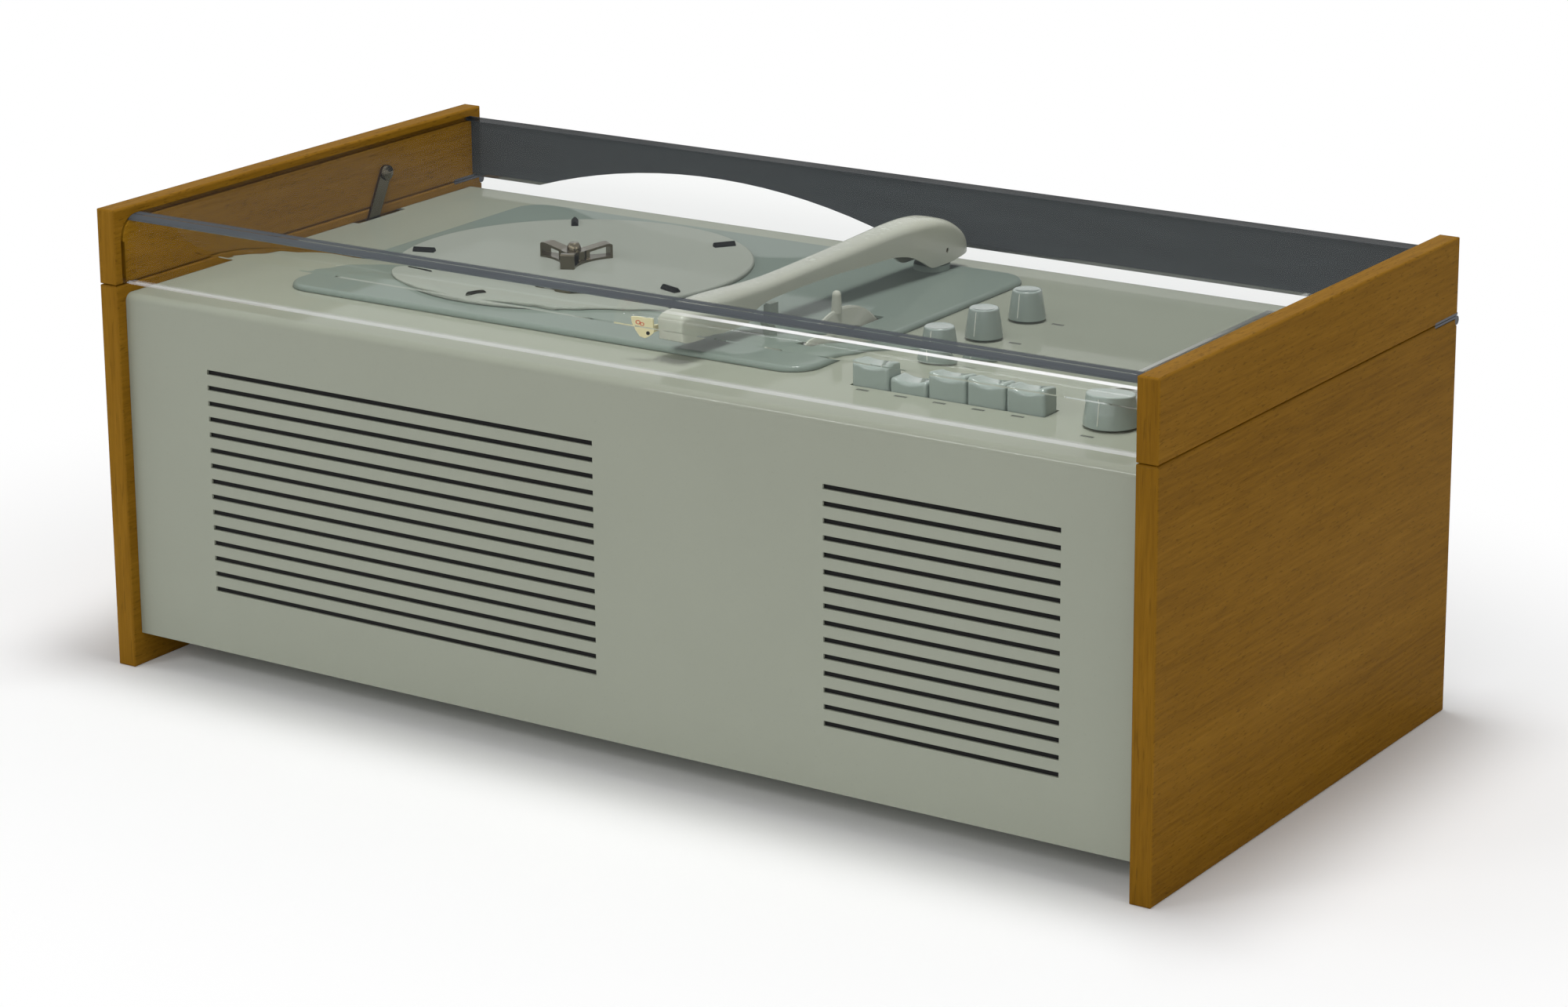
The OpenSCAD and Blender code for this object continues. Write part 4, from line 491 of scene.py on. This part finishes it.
# Valve glass: mostly clear, smoky in places and bright at its rim
valveGlass = {
    "rim": 0.35, "rimShare": 0.5, "smoke": (80, 2, 0.5), "smokeFrom": 0.5, "smokeTo": 0.9,
    "smokeShare": 0.15, "smokeRoughness": 0.1, "roughness": 0.05, "held": 0.18,
}


def glassFinish(bench, colour):
    rim = bench.node("ShaderNodeLayerWeight", {}, {"Blend": valveGlass["rim"]}, out="Fresnel")
    smoke = bench.noise(bench.place(), *valveGlass["smoke"])
    smoke = smoke.rise(valveGlass["smokeFrom"], valveGlass["smokeTo"])
    body = bench.shade(Base_Color=colour,
                       Roughness=valveGlass["roughness"] + smoke * valveGlass["smokeRoughness"])
    clear = bench.node("ShaderNodeBsdfTransparent")
    held = valveGlass["held"] + rim * valveGlass["rimShare"] + smoke * valveGlass["smokeShare"]
    return bench.layered(held, clear, body)


# Every finish in its own colours
finish("wood", woodFinish, light=tone(148, 108, 32), middle=tone(129, 91, 21),
       dark=tone(100, 68, 13))
finish("case_paint", paintFinish, colour=tone(152, 156, 142))
finish("plate_paint", paintFinish, colour=tone(126, 137, 129), gloss=0.30)
finish("platter_paint", paintFinish, colour=tone(156, 160, 151), gloss=0.42, coat=0.12)
finish("key_plastic", plasticFinish, colour=tone(146, 157, 151), gloss=0.12, coat=0.8)
finish("cream_plastic", plasticFinish, colour=tone(176, 178, 166), gloss=0.24, coat=0.3, warmth=0.2)
finish("ivory_plastic", plasticFinish, colour=tone(214, 205, 166), gloss=0.3, warmth=0.5)
finish("rest_plastic", plasticFinish, colour=tone(138, 145, 137), gloss=0.2, coat=0.5)
finish("white_plastic", plasticFinish, colour=tone(226, 226, 216), gloss=0.35)
finish("red_plastic", plasticFinish, colour=tone(196, 62, 40), gloss=0.35)
finish("pickup_plastic", plasticFinish, colour=tone(38, 38, 40), gloss=0.4)
finish("socket_plastic", plasticFinish, colour=tone(96, 58, 36), gloss=0.35)
# Its colour is the dark body of the painted shade on the rear wall, the bend's crown and the lower edge
finish("clear_plastic", clearFinish, colour=tone(74, 78, 82), sizes=acrylic)
finish("black_rubber", rubberFinish, colour=tone(22, 23, 23))
finish("steel", metalFinish, colour=tone(108, 101, 86), gloss=0.14)
finish("dark_steel", metalFinish, colour=tone(70, 72, 76), gloss=0.3)
finish("light_metal", metalFinish, colour=tone(206, 207, 206), gloss=0.3)
finish("bezel_metal", metalFinish, colour=tone(200, 200, 194), gloss=0.28, brush=(30, 1, 1))
finish("brass", metalFinish, colour=tone(196, 164, 92))
finish("dark_board", boardFinish, colour=tone(66, 52, 40))
finish("dark_cloth", clothFinish, colour=tone(20, 20, 20))
finish("cone_paper", boardFinish, colour=tone(44, 42, 40))
finish("valve_glass", glassFinish, colour=tone(70, 72, 74))

slotOf = {entry["node"]: entry["material_slot"] for entry in frame["record"]["subparts"]}
for name, item in nodes.items():
    if not item.data.materials:
        item.data.materials.append(None)
    for i in range(len(item.data.materials)):
        item.data.materials[i] = finishes[slotOf[name]]
print("finishes given to the nodes")


def addPiece(name, mesh, body, replaced=()):
    mesh.name = name
    piece = bpy.data.objects.new(name, mesh)
    bpy.context.scene.collection.objects.link(piece)
    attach(piece, body)
    if replaced:
        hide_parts(*replaced)
    return piece


# A modelled mesh, smooth up to an angle, becomes a piece
def addModelled(name, mesh, body, slotName, smoothTo, replaced):
    mesh.shade_smooth()
    mesh.set_sharp_from_angle(angle=math.radians(smoothTo))
    mesh.materials.clear()
    mesh.materials.append(finishes[slotName])
    addPiece(name, mesh, body, replaced)


# Grow a piece with Geometry Nodes and keep the result as a plain mesh
def grow(name, build, sizes, body, slotName, replaced=()):
    tree = bpy.data.node_groups.new(name + "Tree", "GeometryNodeTree")
    for key, value in sizes.items():
        kind = {int: "NodeSocketInt", tuple: "NodeSocketVector"}.get(type(value), "NodeSocketFloat")
        tree.interface.new_socket(key, in_out="INPUT", socket_type=kind)
    tree.interface.new_socket("Geometry", in_out="OUTPUT", socket_type="NodeSocketGeometry")
    bench = Bench(tree)
    entry = tree.nodes.new("NodeGroupInput")
    given = {key: Wire(bench, entry.outputs[key]) for key in sizes}
    shape = bench.node("GeometryNodeRealizeInstances", {}, {0: build(bench, given)})
    shape = bench.node("GeometryNodeSetMaterial", {}, {"Geometry": shape,
                                                       "Material": finishes[slotName]})
    leave = tree.nodes.new("NodeGroupOutput")
    tree.links.new(shape.socket, leave.inputs[0])
    grower = bpy.data.objects.new("grower", bpy.data.meshes.new("grower"))
    bpy.context.scene.collection.objects.link(grower)
    modifier = grower.modifiers.new("grow", "NODES")
    modifier.node_group = tree
    for item in tree.interface.items_tree:
        if item.item_type == "SOCKET" and item.in_out == "INPUT":
            modifier[item.identifier] = sizes[item.name]
    grower.update_tag()
    graph = bpy.context.evaluated_depsgraph_get()
    mesh = bpy.data.meshes.new_from_object(grower.evaluated_get(graph))
    bpy.data.objects.remove(grower)
    return addPiece(name, mesh, body, replaced)


# A shape moved to its place, and turned where a turn is given
def moved(bench, shape, place, turn=(0, 0, 0)):
    return bench.node("GeometryNodeTransform", {}, {"Geometry": shape, "Translation": place,
                                                    "Rotation": turn})


def pointGrid(bench, width, depth, across, along):
    return bench.node("GeometryNodeMeshGrid", {}, {"Size X": width, "Size Y": depth,
                                                   "Vertices X": across, "Vertices Y": along})


def circleCurve(bench, radius, count):
    return bench.node("GeometryNodeCurvePrimitiveCircle", {}, {"Resolution": count, "Radius": radius})


# The four springs under the turntable plate
springs = {
    "Middle": (-0.07125, 0.012, 0.1764),
    "Width": 0.2715,
    "Depth": 0.172,
    "Radius": 0.0057,
    "Wire": 0.0007,
    "Height": 0.0136,
    "Turns": 6.0,
    "Steps": 20,
    "Round": 8,
}


def springShape(bench, given):
    coil = bench.node("GeometryNodeCurveSpiral", {}, {
        "Resolution": given["Steps"], "Rotations": given["Turns"], "Start Radius": given["Radius"],
        "End Radius": given["Radius"], "Height": given["Height"]})
    wire = bench.node("GeometryNodeCurveToMesh", {}, {
        "Curve": coil, "Profile Curve": circleCurve(bench, given["Wire"], given["Round"]),
        "Fill Caps": True})
    corners = moved(bench, pointGrid(bench, given["Width"], given["Depth"], 2, 2), given["Middle"])
    return bench.node("GeometryNodeInstanceOnPoints", {}, {"Points": corners, "Instance": wire})


grow("plateSprings", springShape, springs, "cabinet", "steel", ["plate_springs"])
print("springs wound")

# The cloth behind the slots, in two pieces stretched over the baffle with slight puckers
stretchedCloth = {
    "Height": 0.12346,
    "PuckerScale": 90.0,
    "Pucker": 0.00016,
    "Across": 61,
    "Up": 33,
}
clothPlaces = {
    "leftCloth": {"Width": 0.2400, "Middle": (-0.1154, -0.1370, 0.10273)},
    "rightCloth": {"Width": 0.1310, "Middle": (0.1817, -0.1370, 0.10273)},
}


def clothShape(bench, given):
    flat = pointGrid(bench, given["Width"], given["Height"], given["Across"], given["Up"])
    pucker = bench.noise(bench.node("GeometryNodeInputPosition"), given["PuckerScale"], 2) - 0.5
    offset = bench.node("ShaderNodeCombineXYZ", {}, {2: pucker * given["Pucker"]})
    pulled = bench.node("GeometryNodeSetPosition", {}, {"Geometry": flat, "Offset": offset})
    return moved(bench, pulled, given["Middle"], (math.pi / 2, 0, 0))


for name, place in clothPlaces.items():
    sizes = {**stretchedCloth, **place}
    cloth = grow(name, clothShape, sizes, "cabinet", "dark_cloth", ["grille_cloth"])
print("cloths stretched")

# The tonearm's smooth shell, in mm from its pivot on the plate. A station is the distance before
# the pivot, the width, the underside and the top. A hole is its distance, height, radius and ends
tonearm = {
    "pivot": (0.031, 0.101, 0.1922),
    "turn": 3.9,
    "wall": 1.5,
    "stations": [
        (-23.0, 8.0, 5.6, 7.4), (-21.5, 11.5, 5.4, 10.2), (-18.0, 15.0, 5.2, 15.4),
        (-12.0, 17.6, 4.8, 20.2), (-4.0, 18.6, 4.0, 24.4), (6.0, 19.0, 3.8, 27.2),
        (13.5, 19.0, 4.2, 28.1), (20.0, 18.8, 7.8, 28.4), (30.0, 18.0, 12.4, 28.3),
        (43.0, 16.6, 14.8, 27.7), (64.0, 15.2, 15.1, 26.3), (85.0, 14.2, 15.5, 24.9),
        (105.0, 13.6, 15.2, 23.7), (126.0, 13.6, 14.6, 22.6), (140.0, 14.2, 13.8, 22.3),
        (150.0, 14.9, 11.6, 22.5), (159.0, 15.6, 8.4, 22.8), (168.0, 16.0, 6.8, 23.1),
        (180.0, 16.4, 6.5, 23.3), (192.0, 16.4, 6.5, 22.7), (199.0, 16.0, 6.6, 21.4),
        (202.5, 15.0, 7.0, 19.8), (203.5, 13.6, 7.6, 18.4)],
    "between": 4,
    "round": 32,
    "shoulder": 0.62,
    "crownPower": 0.7,
    "leastSide": 1,
    "hollowEnds": (-20.5, 201.5),
    "hollowBelow": 3,
    "holes": [(0.0, 10.3, 1.25, -12, 12), (194.0, 11.4, 1.4, -12, 0)],
    "holeSides": 24,
    "smoothTo": 38,
}


# A smooth curve through b and c, with a and d as their neighbours
def cubic(a, b, c, d, t):
    return b + 0.5 * t * (c - a + t * (2 * a - 5 * b + 4 * c - d + t * (3 * (b - c) + d - a)))


def armStations(stations, between):
    last = len(stations) - 1
    spread = []
    for i in range(last):
        four = [stations[max(i - 1, 0)], stations[i], stations[i + 1], stations[min(i + 2, last)]]
        for step in range(between):
            spread.append([cubic(*(row[k] for row in four), step / between) for k in range(4)])
    return spread + [list(stations[last])]


# The arm's outline at a station: an open underside with a crowned top, smaller by the wall
def armRing(sizes, station, wall):
    along, width, low, top = station
    half, high = width / 2 - wall, top - wall
    crown = min(sizes["shoulder"] * half, high - low - sizes["leastSide"])
    ring = [(half, -along, low)]
    for step in range(sizes["round"] + 1):
        angle = math.pi * step / sizes["round"]
        side = math.cos(angle)
        ring.append((half * math.copysign(abs(side) ** sizes["shoulder"], side), -along,
                     high - crown + crown * math.sin(angle) ** sizes["crownPower"]))
    return ring + [(-half, -along, low)]


def loft(bm, rings):
    rows = [[bm.verts.new(point) for point in ring] for ring in rings]
    for row, following in zip(rows, rows[1:]):
        for k in range(len(row)):
            n = (k + 1) % len(row)
            bm.faces.new((row[k], following[k], following[n], row[n]))
    bm.faces.new(rows[0])
    bm.faces.new(reversed(rows[-1]))


def closedMesh(name, fill):
    bm = bmesh.new()
    fill(bm)
    bmesh.ops.recalc_face_normals(bm, faces=bm.faces)
    mesh = bpy.data.meshes.new(name)
    bm.to_mesh(mesh)
    bm.free()
    return mesh


# The mesh with the cutters' shapes taken away
def carve(mesh, cutters):
    piece = bpy.data.objects.new("carving", mesh)
    bpy.context.scene.collection.objects.link(piece)
    tools = []
    for cutter in cutters:
        tool = bpy.data.objects.new("cutter", cutter)
        bpy.context.scene.collection.objects.link(tool)
        cut = piece.modifiers.new("cut", "BOOLEAN")
        cut.object = tool
        cut.operation = "DIFFERENCE"
        cut.solver = "EXACT"
        tools.append(tool)
    graph = bpy.context.evaluated_depsgraph_get()
    result = bpy.data.meshes.new_from_object(piece.evaluated_get(graph))
    for item in tools + [piece]:
        bpy.data.objects.remove(item)
    return result


def drillMesh(along, height, radius, left, right, sides):
    turn = Matrix.Translation(((left + right) / 2, -along, height)) @ Matrix.Rotation(math.pi / 2, 4, "Y")
    return closedMesh("drill", lambda bm: bmesh.ops.create_cone(
        bm, cap_ends=True, segments=sides, radius1=radius, radius2=radius, depth=right - left,
        matrix=turn))


def makeTonearm(sizes):
    stations = armStations(sizes["stations"], sizes["between"])
    outer = [armRing(sizes, station, 0) for station in stations]
    first, last = sizes["hollowEnds"]
    inner = [armRing(sizes, (along, width, low - sizes["hollowBelow"], top), sizes["wall"])
             for along, width, low, top in stations if first < along < last]
    cutters = [closedMesh("hollow", lambda bm: loft(bm, inner))]
    cutters += [drillMesh(*hole, sizes["holeSides"]) for hole in sizes["holes"]]
    mesh = carve(closedMesh("tonearm", lambda bm: loft(bm, outer)), cutters)
    turn = Matrix.Rotation(math.radians(-sizes["turn"]), 4, "Z")
    mesh.transform(Matrix.Translation(sizes["pivot"]) @ turn @ Matrix.Scale(mm, 4))
    addModelled("tonearm", mesh, "arm", "cream_plastic", sizes["smoothTo"], ["tonearm_shell"])


makeTonearm(tonearm)
print("tonearm made")

# The five keys, in mm: a saddle-shaped top with rounded edges, and the shank in the switch bank,
# which is its width, its depth and its lower end
keys = {
    "left": 106.4,
    "pitch": 19.8,
    "width": 19.3,
    "front": -90.4,
    "back": -78.4,
    "foot": 178.0,
    "top": 200.9,
    "dish": 2.0,
    "horn": 2.2,
    "roundFrom": 0.72,
    "edge": 1.9,
    "edgeSteps": 7,
    "shank": (6.0, 4.0, 152.0),
    "shankInto": 1,
    "pressed": {2: 4.5},
    "steps": 44,
    "smoothTo": 50,
}


def keyRing(sizes, y, inset):
    half = sizes["width"] / 2 - inset
    ring = [(-half, y, sizes["foot"]), (half, y, sizes["foot"])]
    for step in range(sizes["steps"] + 1):
        side = math.sin(math.pi / 2 * (1 - 2 * step / sizes["steps"]))
        past = max(0, (abs(side) - sizes["roundFrom"]) / (1 - sizes["roundFrom"]))
        rounding = sizes["horn"] * (1 - math.sqrt(max(0, 1 - past * past)))
        fall = sizes["dish"] * (1 - side * side) + rounding
        ring.append((side * half, y, sizes["top"] - fall - inset))
    return ring


def makeKey(sizes, number):
    edge, count = sizes["edge"], sizes["edgeSteps"]
    turns = [math.pi / 2 * step / count for step in range(count + 1)]
    ends = [(edge * (1 - math.sin(turn)), edge * (1 - math.cos(turn))) for turn in turns]
    rings = [keyRing(sizes, sizes["front"] + deep, inset) for inset, deep in ends]
    rings += [keyRing(sizes, sizes["back"] - deep, inset) for inset, deep in reversed(ends)]
    wide, deep, low = sizes["shank"]
    high = sizes["foot"] + sizes["shankInto"]
    place = Matrix.Translation((0, (sizes["front"] + sizes["back"]) / 2, (low + high) / 2))

    def fill(bm):
        loft(bm, rings)
        bmesh.ops.create_cube(bm, size=1, matrix=place @ Matrix.Diagonal((wide, deep, high - low, 1)))

    mesh = closedMesh("key", fill)
    middle = sizes["left"] + (number - 1) * sizes["pitch"] + sizes["width"] / 2
    drop = sizes["pressed"].get(number, 0)
    mesh.transform(Matrix.Scale(mm, 4) @ Matrix.Translation((middle, 0, -drop)))
    addModelled(f"key{number}Cap", mesh, f"key{number}", "key_plastic", sizes["smoothTo"],
                [f"key_{number}"])


for number in range(1, 6):
    makeKey(keys, number)
print("keys made")

# Turned knobs, in mm: their foot and top radius, the shaft's length below the deck, and the radius
# and length of the cord drum at the tuning shaft's end
knobs = {
    "volume": {"place": (115.5, -30.5), "foot": 8.95, "top": 7.0, "shaft": 20, "drum": None},
    "bass": {"place": (115.5, 8.9), "foot": 8.95, "top": 7.0, "shaft": 20, "drum": None},
    "treble": {"place": (115.5, 48.3), "foot": 8.95, "top": 7.0, "shaft": 20, "drum": None},
    "tuning": {"place": (236.0, -87.0), "foot": 12.5, "top": 10.8, "shaft": 32, "drum": (5.96, 8)},
}
knobShape = {
    "low": 190.3,
    "height": 14.0,
    "footEase": [(0.7, 0), (0.15, 0.25)],
    "lip": 1.2,
    "round": 0.9,
    "roundSteps": 8,
    "dish": 0.25,
    "dishShares": (0.8, 0.6, 0.4, 0.2),
    "shaftRadius": 3.0,
    "count": 96,
    "smoothTo": 30,
}


def lathe(bm, profile, count):
    rows = []
    for radius, z in profile:
        turns = [2 * math.pi * step / count for step in range(1 if radius == 0 else count)]
        rows.append([bm.verts.new((radius * math.cos(turn), radius * math.sin(turn), z))
                     for turn in turns])
    for row, following in zip(rows, rows[1:]):
        for step in range(count):
            after = (step + 1) % count
            corners = [row[step % len(row)], row[after % len(row)],
                       following[after % len(following)], following[step % len(following)]]
            bm.faces.new(list(dict.fromkeys(corners)))


def knobProfile(sizes, shape):
    foot, top, low = sizes["foot"], sizes["top"], -sizes["shaft"]
    high, edge, thin = shape["height"], shape["round"], shape["shaftRadius"]
    profile = [(0, low)]
    if sizes["drum"]:
        radius, length = sizes["drum"]
        profile += [(radius, low), (radius, low + length), (thin, low + length)]
    else:
        profile += [(thin, low)]
    profile += [(thin, 0)]
    profile += [(foot - inset, z) for inset, z in shape["footEase"]]
    profile += [(foot, shape["lip"])]
    for step in range(shape["roundSteps"] + 1):
        angle = math.pi / 2 * step / shape["roundSteps"]
        profile.append((top - edge + edge * math.cos(angle), high - edge + edge * math.sin(angle)))
    for share in shape["dishShares"]:
        profile.append((top * share, high - shape["dish"] * (1 - share * share)))
    return profile + [(0, high - shape["dish"])]


def makeKnob(name, sizes, shape):
    mesh = closedMesh(name, lambda bm: lathe(bm, knobProfile(sizes, shape), shape["count"]))
    mesh.transform(Matrix.Scale(mm, 4) @ Matrix.Translation((*sizes["place"], shape["low"])))
    addModelled(name + "Knob", mesh, name, "key_plastic", shape["smoothTo"], ["knob_" + name])


for name, sizes in knobs.items():
    makeKnob(name, sizes, knobShape)
print("knobs turned")

# White line on the side of each knob, facing the front at rest
markSize = {"Width": 0.0005, "Thick": 0.00024}
markEnds = {"Start": 192.2, "End": 203.2}


def markShape(bench, given):
    side = bench.node("GeometryNodeCurvePrimitiveLine", {}, {"Start": given["Start"],
                                                             "End": given["End"]})
    bar = bench.node("GeometryNodeCurvePrimitiveQuadrilateral", {}, {"Width": given["Thick"],
                                                                      "Height": given["Width"]})
    return bench.node("GeometryNodeCurveToMesh", {}, {"Curve": side, "Profile Curve": bar,
                                                      "Fill Caps": True})


# A point on the front of a knob's side, at a height above the floor
def knobFront(sizes, shape, height):
    slope = (sizes["foot"] - sizes["top"]) / (shape["height"] - shape["round"] - shape["lip"])
    reach = sizes["foot"] - slope * (height - shape["low"] - shape["lip"])
    x, y = sizes["place"]
    return x * mm, (y - reach) * mm, height * mm


for name, sizes in knobs.items():
    ends = {end: knobFront(sizes, knobShape, height) for end, height in markEnds.items()}
    grow(name + "Mark", markShape, {**ends, **markSize}, name, "white_plastic")
print("knob marks drawn")

# Plain short strokes printed before each key, beside each knob and along the dial
strokes = {
    "Height": 0.1894,
    "Tick": (0.0008, 0.0021, 0.00008),
    "Pitch": (0.0013, 0.0, 0.0),
    "Count": 5,
}
strokePlaces = {
    "keyStrokes": {"Middle": (0.1525, -0.0955, 0.0), "Width": 0.0792, "Depth": 0.0,
                   "Across": 5, "Along": 1},
    "knobStrokes": {"Middle": (0.1295, 0.0089, 0.0), "Width": 0.0, "Depth": 0.0788,
                    "Across": 1, "Along": 3},
    "tuningStroke": {"Middle": (0.2325, -0.1065, 0.0), "Width": 0.0, "Depth": 0.0,
                     "Across": 1, "Along": 1},
    "dialScale": {"Middle": (0.236, 0.038, -0.00118), "Width": 0.034, "Depth": 0.14,
                  "Across": 3, "Along": 29, "Tick": (0.007, 0.0003, 0.00004), "Count": 1},
}


def strokeShape(bench, given):
    places = pointGrid(bench, given["Width"], given["Depth"], given["Across"], given["Along"])
    tick = bench.node("GeometryNodeMeshCube", {}, {"Size": given["Tick"]})
    line = bench.node("GeometryNodeMeshLine", {}, {"Count": given["Count"], "Offset": given["Pitch"]})
    row = bench.node("GeometryNodeInstanceOnPoints", {}, {"Points": line, "Instance": tick})
    rows = bench.node("GeometryNodeInstanceOnPoints", {}, {"Points": places, "Instance": row})
    rows = bench.node("GeometryNodeRealizeInstances", {}, {0: rows})
    lift = bench.node("ShaderNodeCombineXYZ", {}, {"Z": given["Height"]})
    return moved(bench, moved(bench, rows, given["Middle"]), lift)


for name, place in strokePlaces.items():
    grow(name, strokeShape, {**strokes, **place}, "cabinet", "pickup_plastic")
print("strokes printed")

# Prints on the stylus flag: two red rings beside each other, and a black dot
flagTurn = (math.pi / 2, 0, 0.2287)
flagRings = {
    "flagRing": {"Place": (0.0019, -0.10500, 0.2066), "Radius": 0.0010},
    "flagLoop": {"Place": (0.0038, -0.10456, 0.2056), "Radius": 0.0008},
}
flagRingWire = {"Wire": 0.00021, "Steps": 32, "Round": 8, "Turn": flagTurn}
flagDot = {"Place": (0.0060, -0.10405, 0.2019), "Radius": 0.0009, "Thick": 0.0002, "Steps": 32,
           "Turn": flagTurn}


def flagRingShape(bench, given):
    ring = bench.node("GeometryNodeCurveToMesh", {}, {
        "Curve": circleCurve(bench, given["Radius"], given["Steps"]),
        "Profile Curve": circleCurve(bench, given["Wire"], given["Round"])})
    return moved(bench, ring, given["Place"], given["Turn"])


def flagDotShape(bench, given):
    dot = bench.node("GeometryNodeMeshCylinder", {}, {
        "Vertices": given["Steps"], "Radius": given["Radius"], "Depth": given["Thick"]})
    return moved(bench, dot, given["Place"], given["Turn"])


for name, ring in flagRings.items():
    grow(name, flagRingShape, {**flagRingWire, **ring}, "stylus", "red_plastic")
grow("flagDot", flagDotShape, flagDot, "stylus", "pickup_plastic")
print("flag printed")

# Floor and light: a lamp is its name, its place, where it aims, its size and its power
stage = {
    "floorHalf": 6.0,
    "floorTone": (0.9, 0.9, 0.9, 1),
    "floorMottle": (5, 2, 0.5),
    "floorPaler": 1.01,
    "floorRoughness": 0.9,
    "floorSpecular": 0.1,
    "whiteFrom": 0.21,
    "whiteTo": 0.48,
    "whiteWide": 0.75,
    "worldLight": 0.26,
    "lamps": [
        ("above", (0.05, 0.06, 1.7), (0, 0, 0), (0.5, 0.4), 16.8),
        ("left", (-0.83, -1.56, 1.14), (0, 0, 0.12), (0.5, 0.22), 5),
        ("front", (0.7, -2.3, 1.15), (0, 0, 0.12), (1.6, 1.0), 14),
        ("right", (2.3, -0.5, 0.9), (0, 0, 0.1), (1.0, 1.0), 9),
        ("side", (-2.2, -0.9, 1.0), (0, 0, 0.12), (1.2, 1.2), 7),
    ],
}


# The world is white where it is looked at, and lights the object at its own level
def setWorld(strength):
    world = bpy.data.worlds.new("studio")
    bpy.context.scene.world = world
    world.use_nodes = True
    world.node_tree.nodes.clear()
    bench = Bench(world.node_tree)
    level = bench.rays("Camera", "Glossy", "Transmission") * (1 - strength) + strength
    sky = bench.node("ShaderNodeBackground", {}, {"Color": (1, 1, 1, 1), "Strength": level})
    output = world.node_tree.nodes.new("ShaderNodeOutputWorld")
    world.node_tree.links.new(sky.socket, output.inputs["Surface"])


# Matt near the object, where its shadow falls, and plain white at a distance
def floorFinish(bench, sizes):
    place = bench.place()
    mottle = bench.noise(place, *sizes["floorMottle"])
    ground = bench.blend(mottle, sizes["floorTone"], scaled(sizes["floorTone"], sizes["floorPaler"]))
    matt = bench.shade(Base_Color=ground, Roughness=sizes["floorRoughness"],
                       Specular_IOR_Level=sizes["floorSpecular"])
    x, y, z = bench.axes(place)
    away = ((x * sizes["whiteWide"]) ** 2 + y * y) ** 0.5
    glow = bench.node("ShaderNodeEmission", {}, {"Color": (1, 1, 1, 1), "Strength": 1})
    white = bench.rays("Camera", "Glossy", "Transmission")
    return bench.layered(white * away.rise(sizes["whiteFrom"], sizes["whiteTo"]), matt, glow)


def setStage(sizes):
    setWorld(sizes["worldLight"])
    finish("floor", floorFinish, sizes=sizes)
    half = sizes["floorHalf"]
    corners = [(-half, -half, 0), (half, -half, 0), (half, half, 0), (-half, half, 0)]
    mesh = bpy.data.meshes.new("floor")
    mesh.from_pydata(corners, [], [(0, 1, 2, 3)])
    mesh.materials.append(finishes["floor"])
    floor = bpy.data.objects.new("floor", mesh)
    bpy.context.scene.collection.objects.link(floor)
    for name, place, aim, size, power in sizes["lamps"]:
        lamp = bpy.data.lights.new(name, "AREA")
        lamp.shape = "RECTANGLE"
        lamp.size, lamp.size_y = size
        lamp.energy = power
        holder = bpy.data.objects.new(name, lamp)
        holder.location = place
        holder.rotation_mode = "QUATERNION"
        holder.rotation_quaternion = (Vector(aim) - Vector(place)).to_track_quat("-Z", "Y")
        bpy.context.scene.collection.objects.link(holder)


setStage(stage)
bpy.context.scene.view_settings.view_transform = "Standard"
print("stage lit")
